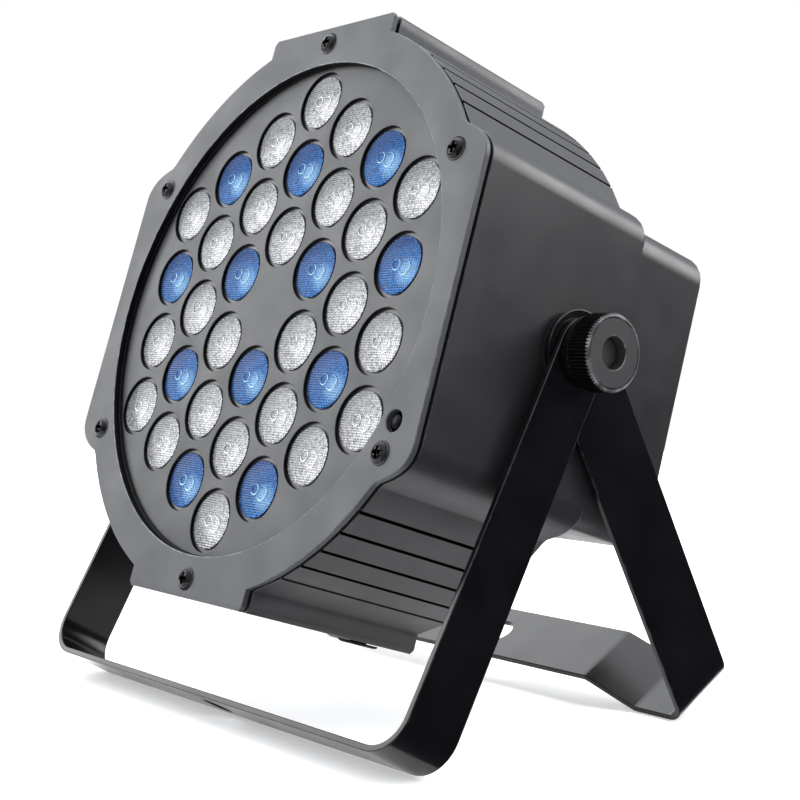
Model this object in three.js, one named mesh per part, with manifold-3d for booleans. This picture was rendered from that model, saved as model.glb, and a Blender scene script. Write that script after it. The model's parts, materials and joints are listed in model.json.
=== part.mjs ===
// Flat LED par can stage light on a double floor bracket.
// Units are millimetres and +Z is up. The light faces -Y, tilted up on its two folding brackets.
// The origin is on the floor, under the middle of the object's bounding box.

import * as THREE from 'three';
import { mergeVertices } from 'three/addons/utils/BufferGeometryUtils.js';
import Module from 'manifold-3d';

const wasm = await Module();
wasm.setup();

// ---- Driving dimensions ----

const GAP = 0.3; // clearance between neighbouring pieces
const LENS_PITCH = 25; // distance between neighbouring lenses
const HEX_SIDE = 3; // rings of lenses around the empty centre

// How the object stands. The head's frame has its origin on the pivot axis,
// with y running back through the lamp and z running up its face.
const HEAD_PITCH = 17.8; // degrees that the face looks up
const FRONT_LEAN = 29.5; // degrees from vertical, leaning forward
const REAR_LEAN = 28.6; // degrees from vertical, leaning back
const FRONT_ARM = 136.5; // pivot to the outer face of the front crossbar

// Depths along the head's y axis.
const FACE_Y = -52.75;
const BEZEL_BACK_Y = FACE_Y + 2;
const PANEL_Y = [-49.75, -48.75];
const CARRIER_Y = [-48.45, -46.95];
const LENS_RIM_Y = -49;
const LENS_FOOT_Y = -39.5;
const BOARD_Y = [-38, -36.4];
const SINK_Y = [-36.1, -32.1];
const FIN_END_Y = -12;
const SHELL_BACK_Y = 21.75;
const BOX_BACK_Y = 53.5;
const REAR_PANEL_Y = [51.5, BOX_BACK_Y];

// Outline of the lamp's face, in its own x and z.
const SIDE_X = 96.75;
const SIDE_FLAT_Z = 44;
const CORNER_Z = 52.5;
const CORNER_END = [84.2, 56.3];
const ARC_R = 100.7;
const ARC_START = 34.9; // degrees from the x axis, where the corner meets the round side
const TAB_X = 34.25;
const TAB_Z = 101.75;
const TAB_CHAMFER = 1.6;
const GROOVE_ANGLES = [40.5, 45.9, 51.3, 56.7, 62.1];
const GROOVE_WIDTH = 1.3;
const GROOVE_DEPTH = 1;
const WALL = 2.2;
const OPENING_R = 87.5;
const PANEL_R = 89.5;
const CARRIER_R = 88;
const BOARD_R = 87;

// Lenses, each a cone with its wide face to the front.
const LENS_R = 9.65;
const LENS_FOOT_R = 6;
const LENS_DOME = 1.6;
const LENS_HOLE_R = 11;
const EMITTER = 5; // side of each square light-emitting package

// Cooling fins behind the board.
const FIN_STEP = 9;
const FIN_SPAN = 72; // the outermost fin's distance from the middle
const FIN_REACH = 82;

// Rear wall's air slots, in a row above the rear box and one below it.
const VENT_STEP = 10;
const VENT_SIDE = 3; // slots on each side of the middle one
const VENT_Z = [60, 86];

// Rear box that carries the sockets.
const BOX_Z = 51;
const BOX_CORNER_R = 11;

// Screws, their bosses and the remote control's sensor.
const SCREW_HEAD_R = 3.5;
const SCREW_R = 1.4;
const SCREW_HOLE_R = 1.8;
const BOSS_R = 4.5;
const BOSS_DEPTH = 14;
const BEZEL_SCREW_R = 95.5;
const BEZEL_SCREW_ANGLES = [90, 30, -30, -90, -150, 150];
const SENSOR_X = 85.25;
const SENSOR_Z = -37.75;

// Rubber plug under the housing.
const PLUG = { x: 18, y: 10, r: 7, stemR: 3 };

// Stack of pieces along the pivot axis, outwards from the housing's side.
const PAD_X = [97.05, 98.3];
const REAR_STRAP_X = [98.6, 100.6];
const FRONT_STRAP_X = [100.9, 102.9];
const WASHER_X = [103.2, 104.1];
const KNOB_X = [104.4, 115.1];
const STUD_X = [85, 112];
const STUD_R = 4;
const PAD_R = 13;
const WASHER_R = 9;
const STRAP = 2;
const FRONT_STRAP_WIDTH = 21.5;
const REAR_STRAP_WIDTH = 27;
const FRONT_BEND_R = 13;
const REAR_BEND_R = 6.5;
const CLAMP_HOLE_R = 5.6;
const REAR_SLOT = 4; // the rear hole's ends lie this far each side of the middle
const RAISE = 9.4; // height of the rear crossbar's raised middle
const RAISE_X = [60, 79]; // the slope down to each foot runs between these
const KNOB_TEETH = 18;
const KNOB_R = 12.4;
const KNOB_ROOT_R = 11.7;
const KNOB_RECESS_R = 5.2;

// Controls and sockets on the rear panel, as x and z of their centres.
const FAN = { x: 58, z: 4, r: 27 };
const DISPLAY = { x: -3, z: 28, width: 46, height: 16 };
const BUTTONS = { menu: 15, down: 3, up: -9, enter: -21 };
const BUTTON_Z = 9;
const BUTTON_R = 3.4;
const DMX_X = -66;
const DMX_IN_Z = 22;
const DMX_OUT_Z = -20;
const DMX_R = 11;
const INLET = { x: 2, z: -28, width: 27, height: 19 };
const FUSE = { x: -30, z: -28, r: 5.5 };
const REAR_SCREW = { x: 86, z: 40 };

const radians = THREE.MathUtils.degToRad;
const rearFootArm = restingRearArm();

// Length of the rear arm that puts both crossbars' lower edges on the same floor.
function restingRearArm() {
  const front = radians(FRONT_LEAN);
  const rear = radians(REAR_LEAN);
  const height = pivotHeight(front);
  return (height - (REAR_STRAP_WIDTH / 2) * Math.sin(rear)) / Math.cos(rear);
}

function pivotHeight(lean) {
  return FRONT_ARM * Math.cos(lean) + (FRONT_STRAP_WIDTH / 2) * Math.sin(lean);
}

// ---- Finishes ----

const FINISHES = {
  shell: { color: 0x1c1c1f, roughness: 0.45, metalness: 0 },
  face: { color: 0x232428, roughness: 0.5, metalness: 0 },
  strap: { color: 0x121214, roughness: 0.4, metalness: 0.2 },
  knob: { color: 0x161618, roughness: 0.6, metalness: 0 },
  screw: { color: 0x0f0f10, roughness: 0.4, metalness: 0.6 },
  steel: { color: 0xa6a8aa, roughness: 0.35, metalness: 1 },
  rubber: { color: 0x0d0d0d, roughness: 0.9, metalness: 0 },
  lens: { color: 0xd7dce2, roughness: 0.15, metalness: 0 },
  board: { color: 0xe4e6e8, roughness: 0.5, metalness: 0.1 },
  circuit: { color: 0x1d5b35, roughness: 0.5, metalness: 0.1 },
  sink: { color: 0x8f9194, roughness: 0.45, metalness: 1 },
  window: { color: 0x2a0a0a, roughness: 0.1, metalness: 0 },
  socket: { color: 0x17171a, roughness: 0.35, metalness: 0 },
  fan: { color: 0x1a1a1a, roughness: 0.5, metalness: 0 },
};

const tilted = { head: new THREE.Group(), front: new THREE.Group(), rear: new THREE.Group() };

function addPart(group, name, finish, geometry) {
  const mesh = new THREE.Mesh(geometry, new THREE.MeshStandardMaterial(FINISHES[finish]));
  mesh.name = name;
  group.add(mesh);
}

// ---- Solids ----

function solid(geometry) {
  const bare = geometry.clone();
  bare.deleteAttribute('normal');
  bare.deleteAttribute('uv');
  const merged = mergeVertices(bare, 1e-4);
  const vertProperties = new Float32Array(merged.attributes.position.array);
  const triVerts = new Uint32Array(merged.index.array);
  return new wasm.Manifold(new wasm.Mesh({ numProp: 3, vertProperties, triVerts }));
}

function surface(shape) {
  const mesh = shape.getMesh();
  const geometry = new THREE.BufferGeometry();
  geometry.setAttribute('position', new THREE.BufferAttribute(mesh.vertProperties, 3));
  geometry.setIndex(new THREE.BufferAttribute(mesh.triVerts, 1));
  geometry.computeVertexNormals();
  return geometry;
}

function join(pieces) {
  return pieces.reduce((whole, piece) => whole.add(piece));
}

function cut(whole, pieces) {
  return pieces.reduce((rest, piece) => rest.subtract(piece), whole);
}

// A flat outline in x and z, thick along y.
function plate(shape, [front, back]) {
  const geometry = new THREE.ExtrudeGeometry(shape, { depth: back - front, bevelEnabled: false });
  return solid(geometry.rotateX(Math.PI / 2).translate(0, back, 0));
}

// A flat outline in y and z, thick along x.
function sidePlate(shape, [low, high]) {
  const geometry = new THREE.ExtrudeGeometry(shape, { depth: high - low, bevelEnabled: false });
  const turn = new THREE.Matrix4().makeBasis(
    new THREE.Vector3(0, 1, 0),
    new THREE.Vector3(0, 0, 1),
    new THREE.Vector3(1, 0, 0),
  );
  return solid(geometry.applyMatrix4(turn).translate(low, 0, 0));
}

function box([x0, x1], [y0, y1], [z0, z1]) {
  const geometry = new THREE.BoxGeometry(x1 - x0, y1 - y0, z1 - z0);
  return solid(geometry.translate((x0 + x1) / 2, (y0 + y1) / 2, (z0 + z1) / 2));
}

// A round bar along y, at x and z.
function bar(x, z, r, [front, back], sides = 20) {
  const geometry = new THREE.CylinderGeometry(r, r, back - front, sides);
  return solid(geometry.translate(x, (front + back) / 2, z));
}

// A round bar along x, on the pivot axis.
function axle(r, [low, high], sides = 20) {
  const geometry = new THREE.CylinderGeometry(r, r, high - low, sides);
  return solid(geometry.rotateZ(Math.PI / 2).translate((low + high) / 2, 0, 0));
}

// A turned piece from [radius, y] corners, around a y axis at x and z.
function turned(corners, x, z, sides = 20) {
  const points = corners.map(([r, y]) => new THREE.Vector2(r, y));
  return solid(new THREE.LatheGeometry(points, sides).translate(x, 0, z));
}

function turnedRing(inner, outer, [front, back], x, z, sides) {
  const corners = [[inner, front], [outer, front], [outer, back], [inner, back], [inner, front]];
  return turned(corners, x, z, sides);
}

function mirrorX(shape) {
  return shape.mirror([1, 0, 0]);
}

// ---- Outlines ----

function shapeOf(points) {
  return new THREE.Shape(points.map(([x, y]) => new THREE.Vector2(x, y)));
}

function circlePoints(r, sides, x = 0, y = 0) {
  return Array.from({ length: sides }, (_, i) => {
    const angle = (2 * Math.PI * i) / sides;
    return [x + r * Math.cos(angle), y + r * Math.sin(angle)];
  });
}

function polar(r, degrees) {
  return [r * Math.cos(radians(degrees)), r * Math.sin(radians(degrees))];
}

// One groove across the round side, as the corners of its notch.
function notch(r, degrees) {
  const half = THREE.MathUtils.radToDeg(GROOVE_WIDTH / 2 / r);
  const floor = r - GROOVE_DEPTH;
  return [
    polar(r, degrees - half),
    polar(floor, degrees - half * 0.7),
    polar(floor, degrees + half * 0.7),
    polar(r, degrees + half),
  ];
}

// A quarter of the face's outline, from the x axis round to the z axis.
function quarterOutline(inset, grooved) {
  const side = SIDE_X - inset;
  const r = ARC_R - inset;
  const corner = new THREE.QuadraticBezierCurve(
    new THREE.Vector2(side, SIDE_FLAT_Z),
    new THREE.Vector2(side, CORNER_Z - inset),
    new THREE.Vector2(CORNER_END[0], CORNER_END[1] - inset),
  );
  const points = corner.getPoints(6).map((p) => [p.x, p.y]);
  points.push(polar(r, ARC_START));
  if (grooved) {
    GROOVE_ANGLES.forEach((angle) => points.push(...notch(r, angle)));
  } else {
    [42, 49, 56, 63].forEach((angle) => points.push(polar(r, angle)));
  }
  const tabX = TAB_X - inset;
  const tabZ = TAB_Z - inset;
  points.push([tabX, Math.sqrt(r * r - tabX * tabX)]);
  points.push([tabX, tabZ - TAB_CHAMFER]);
  points.push([tabX - TAB_CHAMFER, tabZ]);
  return points;
}

function faceOutline(inset, grooved) {
  const quarter = quarterOutline(inset, grooved);
  const back = [...quarter].reverse();
  return [
    ...quarter,
    ...back.map(([x, z]) => [-x, z]),
    ...quarter.map(([x, z]) => [-x, -z]),
    ...back.map(([x, z]) => [x, -z]),
  ];
}

function roundedRectangle(halfWidth, halfHeight, r, x = 0, z = 0) {
  const shape = new THREE.Shape();
  shape.absarc(x + halfWidth - r, z + halfHeight - r, r, 0, Math.PI / 2);
  shape.absarc(x - halfWidth + r, z + halfHeight - r, r, Math.PI / 2, Math.PI);
  shape.absarc(x - halfWidth + r, z - halfHeight + r, r, Math.PI, 1.5 * Math.PI);
  shape.absarc(x + halfWidth - r, z - halfHeight + r, r, 1.5 * Math.PI, 2 * Math.PI);
  return new THREE.Shape(shape.getPoints(3));
}

// Lens centres: a hexagon of rings with a corner at the top, without the middle one.
function lensCentres() {
  const centres = [];
  for (let column = -HEX_SIDE; column <= HEX_SIDE; column += 1) {
    const rows = 2 * HEX_SIDE + 1 - Math.abs(column);
    for (let row = 0; row < rows; row += 1) {
      const x = column * LENS_PITCH * Math.sqrt(0.75);
      const z = (row - (rows - 1) / 2) * LENS_PITCH;
      if (Math.hypot(x, z) > 1) {
        centres.push([x, z]);
      }
    }
  }
  return centres;
}

// ---- Housing ----

function screwBoss([x, z], reach, depth) {
  const length = Math.hypot(x, z);
  const web = new THREE.BoxGeometry(reach, depth[1] - depth[0], BOSS_R - GAP);
  web.translate(length + reach / 2, 0, 0).rotateY(-Math.atan2(z, x));
  web.translate(0, (depth[0] + depth[1]) / 2, 0);
  return bar(x, z, BOSS_R, depth, 8).add(solid(web));
}

const shellY = [BEZEL_BACK_Y + GAP, SHELL_BACK_Y];
const rearBossY = [40, REAR_PANEL_Y[0] - GAP];

// The shell's outer form, drawn in from its surface by inset.
function shellForm(inset, grooved, boxEndY) {
  const drum = plate(shapeOf(faceOutline(inset, grooved)), shellY);
  const rearBox = roundedRectangle(SIDE_X - inset, BOX_Z - inset, BOX_CORNER_R - inset);
  return drum.add(plate(rearBox, [SHELL_BACK_Y - BOSS_DEPTH, boxEndY]));
}

// Everything that stands inside the shell: screw bosses and the ledge behind the heat sink.
function shellInsides() {
  const frontBosses = bezelScrewCentres().map((centre) =>
    screwBoss(centre, BOSS_DEPTH, [shellY[0], shellY[0] + BOSS_DEPTH]));
  const rearBosses = rearScrewCentres().map((centre) =>
    screwBoss(centre, BOSS_DEPTH, rearBossY));
  const ledgeY = [SINK_Y[1] + GAP, SINK_Y[1] + GAP + 2];
  const ledge = turnedRing(CARRIER_R - 4, ARC_R + 3, ledgeY, 0, 0, 24);
  const insideWall = shellForm(WALL / 2, false, BOX_BACK_Y);
  return join([ledge, ...frontBosses, ...rearBosses]).intersect(insideWall);
}

function housing() {
  const hollow = plate(shapeOf(faceOutline(WALL, false)), [shellY[0] - 1, SHELL_BACK_Y - WALL]);
  const boxHollow = plate(
    roundedRectangle(SIDE_X - WALL, BOX_Z - WALL, BOX_CORNER_R - WALL),
    [SHELL_BACK_Y - 4 * WALL, BOX_BACK_Y + 1],
  );
  const shell = cut(shellForm(0, true, BOX_BACK_Y), [hollow, boxHollow]);
  const frontHoles = bezelScrewCentres().map(([x, z]) =>
    bar(x, z, SCREW_HOLE_R, [shellY[0] - 1, shellY[0] + BOSS_DEPTH - 3], 8));
  const rearHoles = rearScrewCentres().map(([x, z]) =>
    bar(x, z, SCREW_HOLE_R, [rearBossY[0] + 2, BOX_BACK_Y], 8));
  const pivotHole = axle(STUD_R + 2 * GAP, [-KNOB_X[1], KNOB_X[1]]);
  const plugHole = upright(PLUG.stemR + GAP, [-TAB_Z - 1, -TAB_Z + WALL + 1]);
  const holes = [...frontHoles, ...rearHoles, ...vents(), pivotHole, plugHole];
  return cut(shell.add(shellInsides()), holes);
}

// A round bar along z, at the plug's place.
function upright(r, [low, high]) {
  const geometry = new THREE.CylinderGeometry(r, r, high - low, 12);
  return solid(geometry.rotateX(Math.PI / 2).translate(PLUG.x, PLUG.y, (low + high) / 2));
}

function basePlug() {
  const head = upright(PLUG.r, [-TAB_Z - GAP - 1, -TAB_Z - GAP]);
  return head.add(upright(PLUG.stemR, [-TAB_Z - GAP - 0.5, -TAB_Z + WALL + 2]));
}

// Slots in the shell's rear wall, above and below the rear box.
function vents() {
  const slots = [];
  const [low, high] = VENT_Z;
  for (let column = -VENT_SIDE; column <= VENT_SIDE; column += 1) {
    const x = column * VENT_STEP;
    [[low, high], [-high, -low]].forEach((span) => {
      slots.push(box([x - 1.5, x + 1.5], [SHELL_BACK_Y - 4, SHELL_BACK_Y + 1], span));
    });
  }
  return slots;
}

function bezelScrewCentres() {
  return BEZEL_SCREW_ANGLES.map((angle) => polar(BEZEL_SCREW_R, angle));
}

function rearScrewCentres() {
  const { x, z } = REAR_SCREW;
  return [[x, z], [-x, z], [-x, -z], [x, -z]];
}

// ---- Front ----

function bezel() {
  const outline = shapeOf(faceOutline(0, false));
  outline.holes.push(shapeOf(circlePoints(OPENING_R, 48)));
  bezelScrewCentres().forEach((centre) => {
    outline.holes.push(shapeOf(circlePoints(SCREW_HOLE_R, 8, ...centre)));
  });
  outline.holes.push(shapeOf(circlePoints(3.5, 12, SENSOR_X, SENSOR_Z)));
  return plate(outline, [FACE_Y, BEZEL_BACK_Y]);
}

function innerPanel() {
  const disc = shapeOf(circlePoints(PANEL_R, 48));
  lensCentres().forEach((centre) => {
    disc.holes.push(shapeOf(circlePoints(LENS_HOLE_R, 12, ...centre)));
  });
  return plate(disc, PANEL_Y);
}

// One moulded carrier plate with a lens cone through it for each light-emitting diode.
function lensArray() {
  const carrier = plate(shapeOf(circlePoints(CARRIER_R, 40)), CARRIER_Y);
  const cones = lensCentres().map(([x, z]) => turned([
    [0, LENS_RIM_Y - LENS_DOME],
    [LENS_R, LENS_RIM_Y],
    [LENS_FOOT_R, LENS_FOOT_Y],
    [0, LENS_FOOT_Y],
  ], x, z, 8));
  return join([carrier, ...cones]);
}

function ledBoard() {
  const board = plate(shapeOf(circlePoints(BOARD_R, 40)), BOARD_Y);
  const half = EMITTER / 2;
  const depth = [BOARD_Y[0] - 1.2, BOARD_Y[0] + 0.5];
  const emitters = lensCentres().map(([x, z]) =>
    box([x - half, x + half], depth, [z - half, z + half]));
  return join([board, ...emitters]);
}

function heatSink() {
  const base = plate(shapeOf(circlePoints(CARRIER_R, 40)), SINK_Y);
  const fins = [];
  for (let x = -FIN_SPAN; x <= FIN_SPAN; x += FIN_STEP) {
    const reach = Math.sqrt(FIN_REACH * FIN_REACH - x * x);
    fins.push(box([x - 1, x + 1], [SINK_Y[1] - 1, FIN_END_Y], [-reach, reach]));
  }
  return join([base, ...fins]);
}

function sensor() {
  const y = BEZEL_BACK_Y + 0.5;
  const corners = [[0, y - 2], [2.6, y - 1.2], [2.6, y], [3, y], [3, y + 10], [0, y + 10]];
  return turned(corners, SENSOR_X, SENSOR_Z, 14);
}

// Pan-head screw along y, its head standing out by side (-1 to the front, 1 to the back).
function screw([x, z], seatY, side, length) {
  const corners = [
    [0, -length],
    [SCREW_R, -length],
    [SCREW_R, 0],
    [SCREW_HEAD_R, 0],
    [SCREW_HEAD_R * 0.8, 1.4],
    [0, 1.9],
  ].map(([r, out]) => [r, seatY + side * out]);
  const body = turned(side > 0 ? corners : corners.reverse(), x, z, 8);
  const top = seatY + side * 2.2;
  const floor = seatY + side * 0.8;
  const depth = [Math.min(top, floor), Math.max(top, floor)];
  return cut(body, [
    box([x - 1.9, x + 1.9], depth, [z - 0.4, z + 0.4]),
    box([x - 0.4, x + 0.4], depth, [z - 1.9, z + 1.9]),
  ]);
}

// ---- Rear panel and what it carries ----

function rearPanel() {
  const inset = WALL + GAP;
  const outline = roundedRectangle(SIDE_X - inset, BOX_Z - inset, BOX_CORNER_R - inset);
  outline.holes.push(shapeOf(circlePoints(FAN.r, 24, FAN.x, FAN.z)));
  outline.holes.push(rectangle(DISPLAY, GAP));
  outline.holes.push(rectangle(INLET, GAP));
  outline.holes.push(shapeOf(circlePoints(FUSE.r + 0.5, 12, FUSE.x, FUSE.z)));
  [DMX_IN_Z, DMX_OUT_Z].forEach((z) => {
    outline.holes.push(shapeOf(circlePoints(DMX_R + 0.5, 16, DMX_X, z)));
  });
  Object.values(BUTTONS).forEach((x) => {
    outline.holes.push(shapeOf(circlePoints(BUTTON_R + GAP, 12, x, BUTTON_Z)));
  });
  rearScrewCentres().forEach((centre) => {
    outline.holes.push(shapeOf(circlePoints(SCREW_HOLE_R, 8, ...centre)));
  });
  return plate(outline, REAR_PANEL_Y);
}

function rectangle({ x, z, width, height }, margin = 0) {
  const w = width / 2 + margin;
  const h = height / 2 + margin;
  return shapeOf([[x - w, z - h], [x + w, z - h], [x + w, z + h], [x - w, z + h]]);
}

function displayWindow() {
  return plate(rectangle(DISPLAY), [REAR_PANEL_Y[0] + GAP, REAR_PANEL_Y[1] + 0.4]);
}

function controlBoard() {
  const boardY = [43.5, 45.1];
  const { x, z, width, height } = DISPLAY;
  const board = box([-34, 26], boardY, [-2, 41]);
  const digits = box(
    [x - width / 2 + 2, x + width / 2 - 2],
    [45, REAR_PANEL_Y[0] - GAP],
    [z - height / 2 + 1, z + height / 2 - 1],
  );
  const switches = Object.values(BUTTONS).map((buttonX) =>
    box([buttonX - 3, buttonX + 3], [45, 48.2], [BUTTON_Z - 3, BUTTON_Z + 3]));
  return join([board, digits, ...switches]);
}

function button(x) {
  const flangeY = 49.9;
  return turned([
    [0, flangeY],
    [BUTTON_R + 1, flangeY],
    [BUTTON_R + 1, flangeY + 1],
    [BUTTON_R, flangeY + 1],
    [BUTTON_R, BOX_BACK_Y + 1.5],
    [BUTTON_R - 0.5, BOX_BACK_Y + 2],
    [0, BOX_BACK_Y + 2],
  ], x, BUTTON_Z, 12);
}

function driverBoard() {
  const board = box([-55, 55], [-8, 28], [-44, -42.4]);
  const transformer = box([-36, -8], [-2, 22], [-43, -22]);
  const coil = box([30, 48], [0, 18], [-43, -28]);
  const capacitors = [2, 18].map((x) => {
    const can = new THREE.CylinderGeometry(6, 6, 20, 14);
    return solid(can.rotateX(Math.PI / 2).translate(x, 8, -33));
  });
  return join([board, transformer, coil, ...capacitors]);
}

function fanFrame() {
  const half = 30;
  const outline = rectangle({ x: FAN.x, z: FAN.z, width: 2 * half, height: 2 * half });
  outline.holes.push(shapeOf(circlePoints(28, 24, FAN.x, FAN.z)));
  const hubY = [36, 38];
  const ring = plate(outline, [hubY[0], REAR_PANEL_Y[0] - GAP]);
  const hub = bar(FAN.x, FAN.z, 11, hubY);
  const struts = [
    box([FAN.x - 29, FAN.x + 29], hubY, [FAN.z - 1.5, FAN.z + 1.5]),
    box([FAN.x - 1.5, FAN.x + 1.5], hubY, [FAN.z - 29, FAN.z + 29]),
  ];
  return join([ring, hub, ...struts]);
}

function fanRotor() {
  const blades = [];
  const count = 7;
  for (let i = 0; i < count; i += 1) {
    const blade = new THREE.BoxGeometry(17, 1.4, 15);
    blade.rotateX(radians(35)).translate(18, 44, 0);
    blade.rotateY((2 * Math.PI * i) / count).translate(FAN.x, 0, FAN.z);
    blades.push(solid(blade));
  }
  return join([bar(FAN.x, FAN.z, 12, [38.6, 49.6]), ...blades]);
}

function fanGuard() {
  const depth = [BOX_BACK_Y + GAP, BOX_BACK_Y + GAP + 1.4];
  const rings = [[26, 28], [15, 16.6]].map(([inner, outer]) =>
    turnedRing(inner, outer, depth, FAN.x, FAN.z, 16));
  const hub = bar(FAN.x, FAN.z, 5, depth, 12);
  const spokes = [54, 72, 54, 72].map((length, i) => {
    const spoke = new THREE.BoxGeometry(length, depth[1] - depth[0], 2.2);
    spoke.rotateY(radians(45 * i)).translate(FAN.x, (depth[0] + depth[1]) / 2, FAN.z);
    return solid(spoke);
  });
  return join([...rings, hub, ...spokes]);
}

function socketFlangeY() {
  return [BOX_BACK_Y + GAP, BOX_BACK_Y + GAP + 2.5];
}

function dmxSocket(z, open) {
  const flangeY = socketFlangeY();
  const flange = plate(roundedRectangle(13, 15.5, 3, DMX_X, z), flangeY);
  const barrel = bar(DMX_X, z, DMX_R, [34, flangeY[0] + 1], 16);
  const body = flange.add(barrel);
  if (open) {
    return body.subtract(bar(DMX_X, z, 8, [44, flangeY[1] + 1], 16));
  }
  const groove = turnedRing(8, 9, [flangeY[1] - 1.5, flangeY[1] + 1], DMX_X, z, 16);
  const contacts = [-150, -90, -30].map((angle) => {
    const [x, dz] = polar(3.6, angle);
    return bar(DMX_X + x, z + dz, 1.3, [46, flangeY[1] + 1], 6);
  });
  return cut(body, [groove, ...contacts]);
}

function powerInlet() {
  const { x, z, width, height } = INLET;
  const flangeY = socketFlangeY();
  const flange = plate(roundedRectangle(width / 2 + 2, height / 2 + 2, 2, x, z), flangeY);
  const body = plate(rectangle({ x, z, width, height }), [34, flangeY[0] + 1]);
  const cavity = plate(roundedRectangle(11, 7, 2, x, z), [41, flangeY[1] + 1]);
  return flange.add(body).subtract(cavity);
}

function fuseHolder() {
  const capY = BOX_BACK_Y + GAP;
  return turned([
    [0, 32],
    [FUSE.r, 32],
    [FUSE.r, capY],
    [7.5, capY],
    [7.5, capY + 2],
    [6.5, capY + 5],
    [0, capY + 5],
  ], FUSE.x, FUSE.z, 12);
}

// Loop for a safety cable, on a foot plate behind the housing's top.
function safetyEye() {
  const z = 93.5;
  const footY = [SHELL_BACK_Y + GAP, SHELL_BACK_Y + GAP + 2];
  const foot = box([-15, 15], footY, [z - 4, z + 4]);
  const start = footY[0] + 1;
  const path = new THREE.CurvePath();
  const loop = new THREE.CubicBezierCurve3(
    new THREE.Vector3(9, start, z),
    new THREE.Vector3(9, start + 19, z),
    new THREE.Vector3(-9, start + 19, z),
    new THREE.Vector3(-9, start, z),
  );
  path.add(loop);
  const section = shapeOf(circlePoints(2, 8));
  const wire = new THREE.ExtrudeGeometry(section, { extrudePath: path, steps: 10 });
  return foot.add(solid(wire));
}

// ---- Pivot ----

function pivotNut() {
  const hexagon = axle(7.5, [84, 91.5], 6);
  const flange = axle(11, [91, SIDE_X - WALL - GAP]);
  return hexagon.add(flange).subtract(axle(STUD_R + GAP, [80, 100], 12));
}

function axleRing(inner, outer, span) {
  return axle(outer, span).subtract(axle(inner, [span[0] - 1, span[1] + 1], 12));
}

function knob() {
  const skirtEnd = KNOB_X[0] + 2.3;
  const rim = KNOB_X[1] - 0.6;
  const outline = [];
  for (let i = 0; i < KNOB_TEETH; i += 1) {
    outline.push(polar(KNOB_R, (360 * i) / KNOB_TEETH));
    outline.push(polar(KNOB_ROOT_R, (360 * (i + 0.5)) / KNOB_TEETH));
  }
  const knurl = sidePlate(shapeOf(outline), [skirtEnd - 0.5, rim]);
  const body = join([
    axle(KNOB_ROOT_R - 0.1, [KNOB_X[0], skirtEnd]),
    knurl,
    axle(KNOB_ROOT_R - GAP, [rim - 0.5, KNOB_X[1]]),
  ]);
  const recess = axle(KNOB_RECESS_R, [STUD_X[1] - 1.5, KNOB_X[1] + 1], 12);
  return cut(body, [recess, axle(STUD_R + GAP, [KNOB_X[0] - 1, STUD_X[1]], 12)]);
}

function stud() {
  return axle(STUD_R, [STUD_X[0], STUD_X[1] - 1.8], 12);
}

// ---- Brackets, in their own frame: pivot axis at the origin, arms hanging down ----

// Quarter turn from straight down an arm to straight along the crossbar, around x and z.
function bend(x, z, r) {
  const steps = 4;
  return Array.from({ length: steps + 1 }, (_, i) => {
    const [dx, dz] = polar(r, (-90 * i) / steps);
    return [x + dx, z + dz];
  });
}

function mirrored(points) {
  return [...points].reverse().map(([x, z]) => [-x, z]);
}

// One face of a strap, from the right pivot round the crossbar to the left pivot. The strap's
// outer face has depth 0, and middle(depth) gives the corners between the bend and x = 0.
function strapFace(outerX, arm, bendR, depth, middle) {
  const turn = bend(outerX - bendR, -arm + bendR, bendR - depth);
  const half = [[outerX - depth, 0], ...turn, ...middle(depth)];
  return [...half, ...mirrored(half)];
}

function bracket(span, arm, bendR, width, middle, clampHole) {
  const outer = strapFace(span[1], arm, bendR, 0, middle);
  const inner = strapFace(span[1], arm, bendR, STRAP, middle);
  const strap = plate(shapeOf([...outer, ...inner.reverse()]), [-width / 2, width / 2]);
  const end = axle(width / 2, span, 24);
  const whole = join([strap, end, mirrorX(end)]);
  return cut(whole, [axle(STUD_R + GAP, [-KNOB_X[1], KNOB_X[1]], 12), clampHole]);
}

// Upright cutter for the clamp's bolt: a round hole, or a slot when its ends are apart.
function clampCutter(z, spread) {
  const outline = new THREE.Shape();
  outline.absarc(spread, 0, CLAMP_HOLE_R, -Math.PI / 2, Math.PI / 2);
  outline.absarc(-spread, 0, CLAMP_HOLE_R, Math.PI / 2, 1.5 * Math.PI);
  const depth = 6 * STRAP;
  const options = { depth, bevelEnabled: false, curveSegments: 8 };
  const geometry = new THREE.ExtrudeGeometry(outline, options);
  return solid(geometry.translate(0, 0, z - depth / 2));
}

function frontBracket() {
  const clampHole = clampCutter(-FRONT_ARM, 0);
  return bracket(FRONT_STRAP_X, FRONT_ARM, FRONT_BEND_R, FRONT_STRAP_WIDTH, () => [], clampHole);
}

function rearBracket() {
  const arm = rearFootArm;
  const slope = Math.atan2(RAISE, RAISE_X[1] - RAISE_X[0]);
  const middle = (up) => {
    const shift = up * Math.tan(slope / 2);
    return [[RAISE_X[1] - shift, -arm + up], [RAISE_X[0] - shift, -arm + RAISE + up]];
  };
  const clampHole = clampCutter(-arm + RAISE, REAR_SLOT);
  return bracket(REAR_STRAP_X, arm, REAR_BEND_R, REAR_STRAP_WIDTH, middle, clampHole);
}

// ---- Assembly ----

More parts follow.
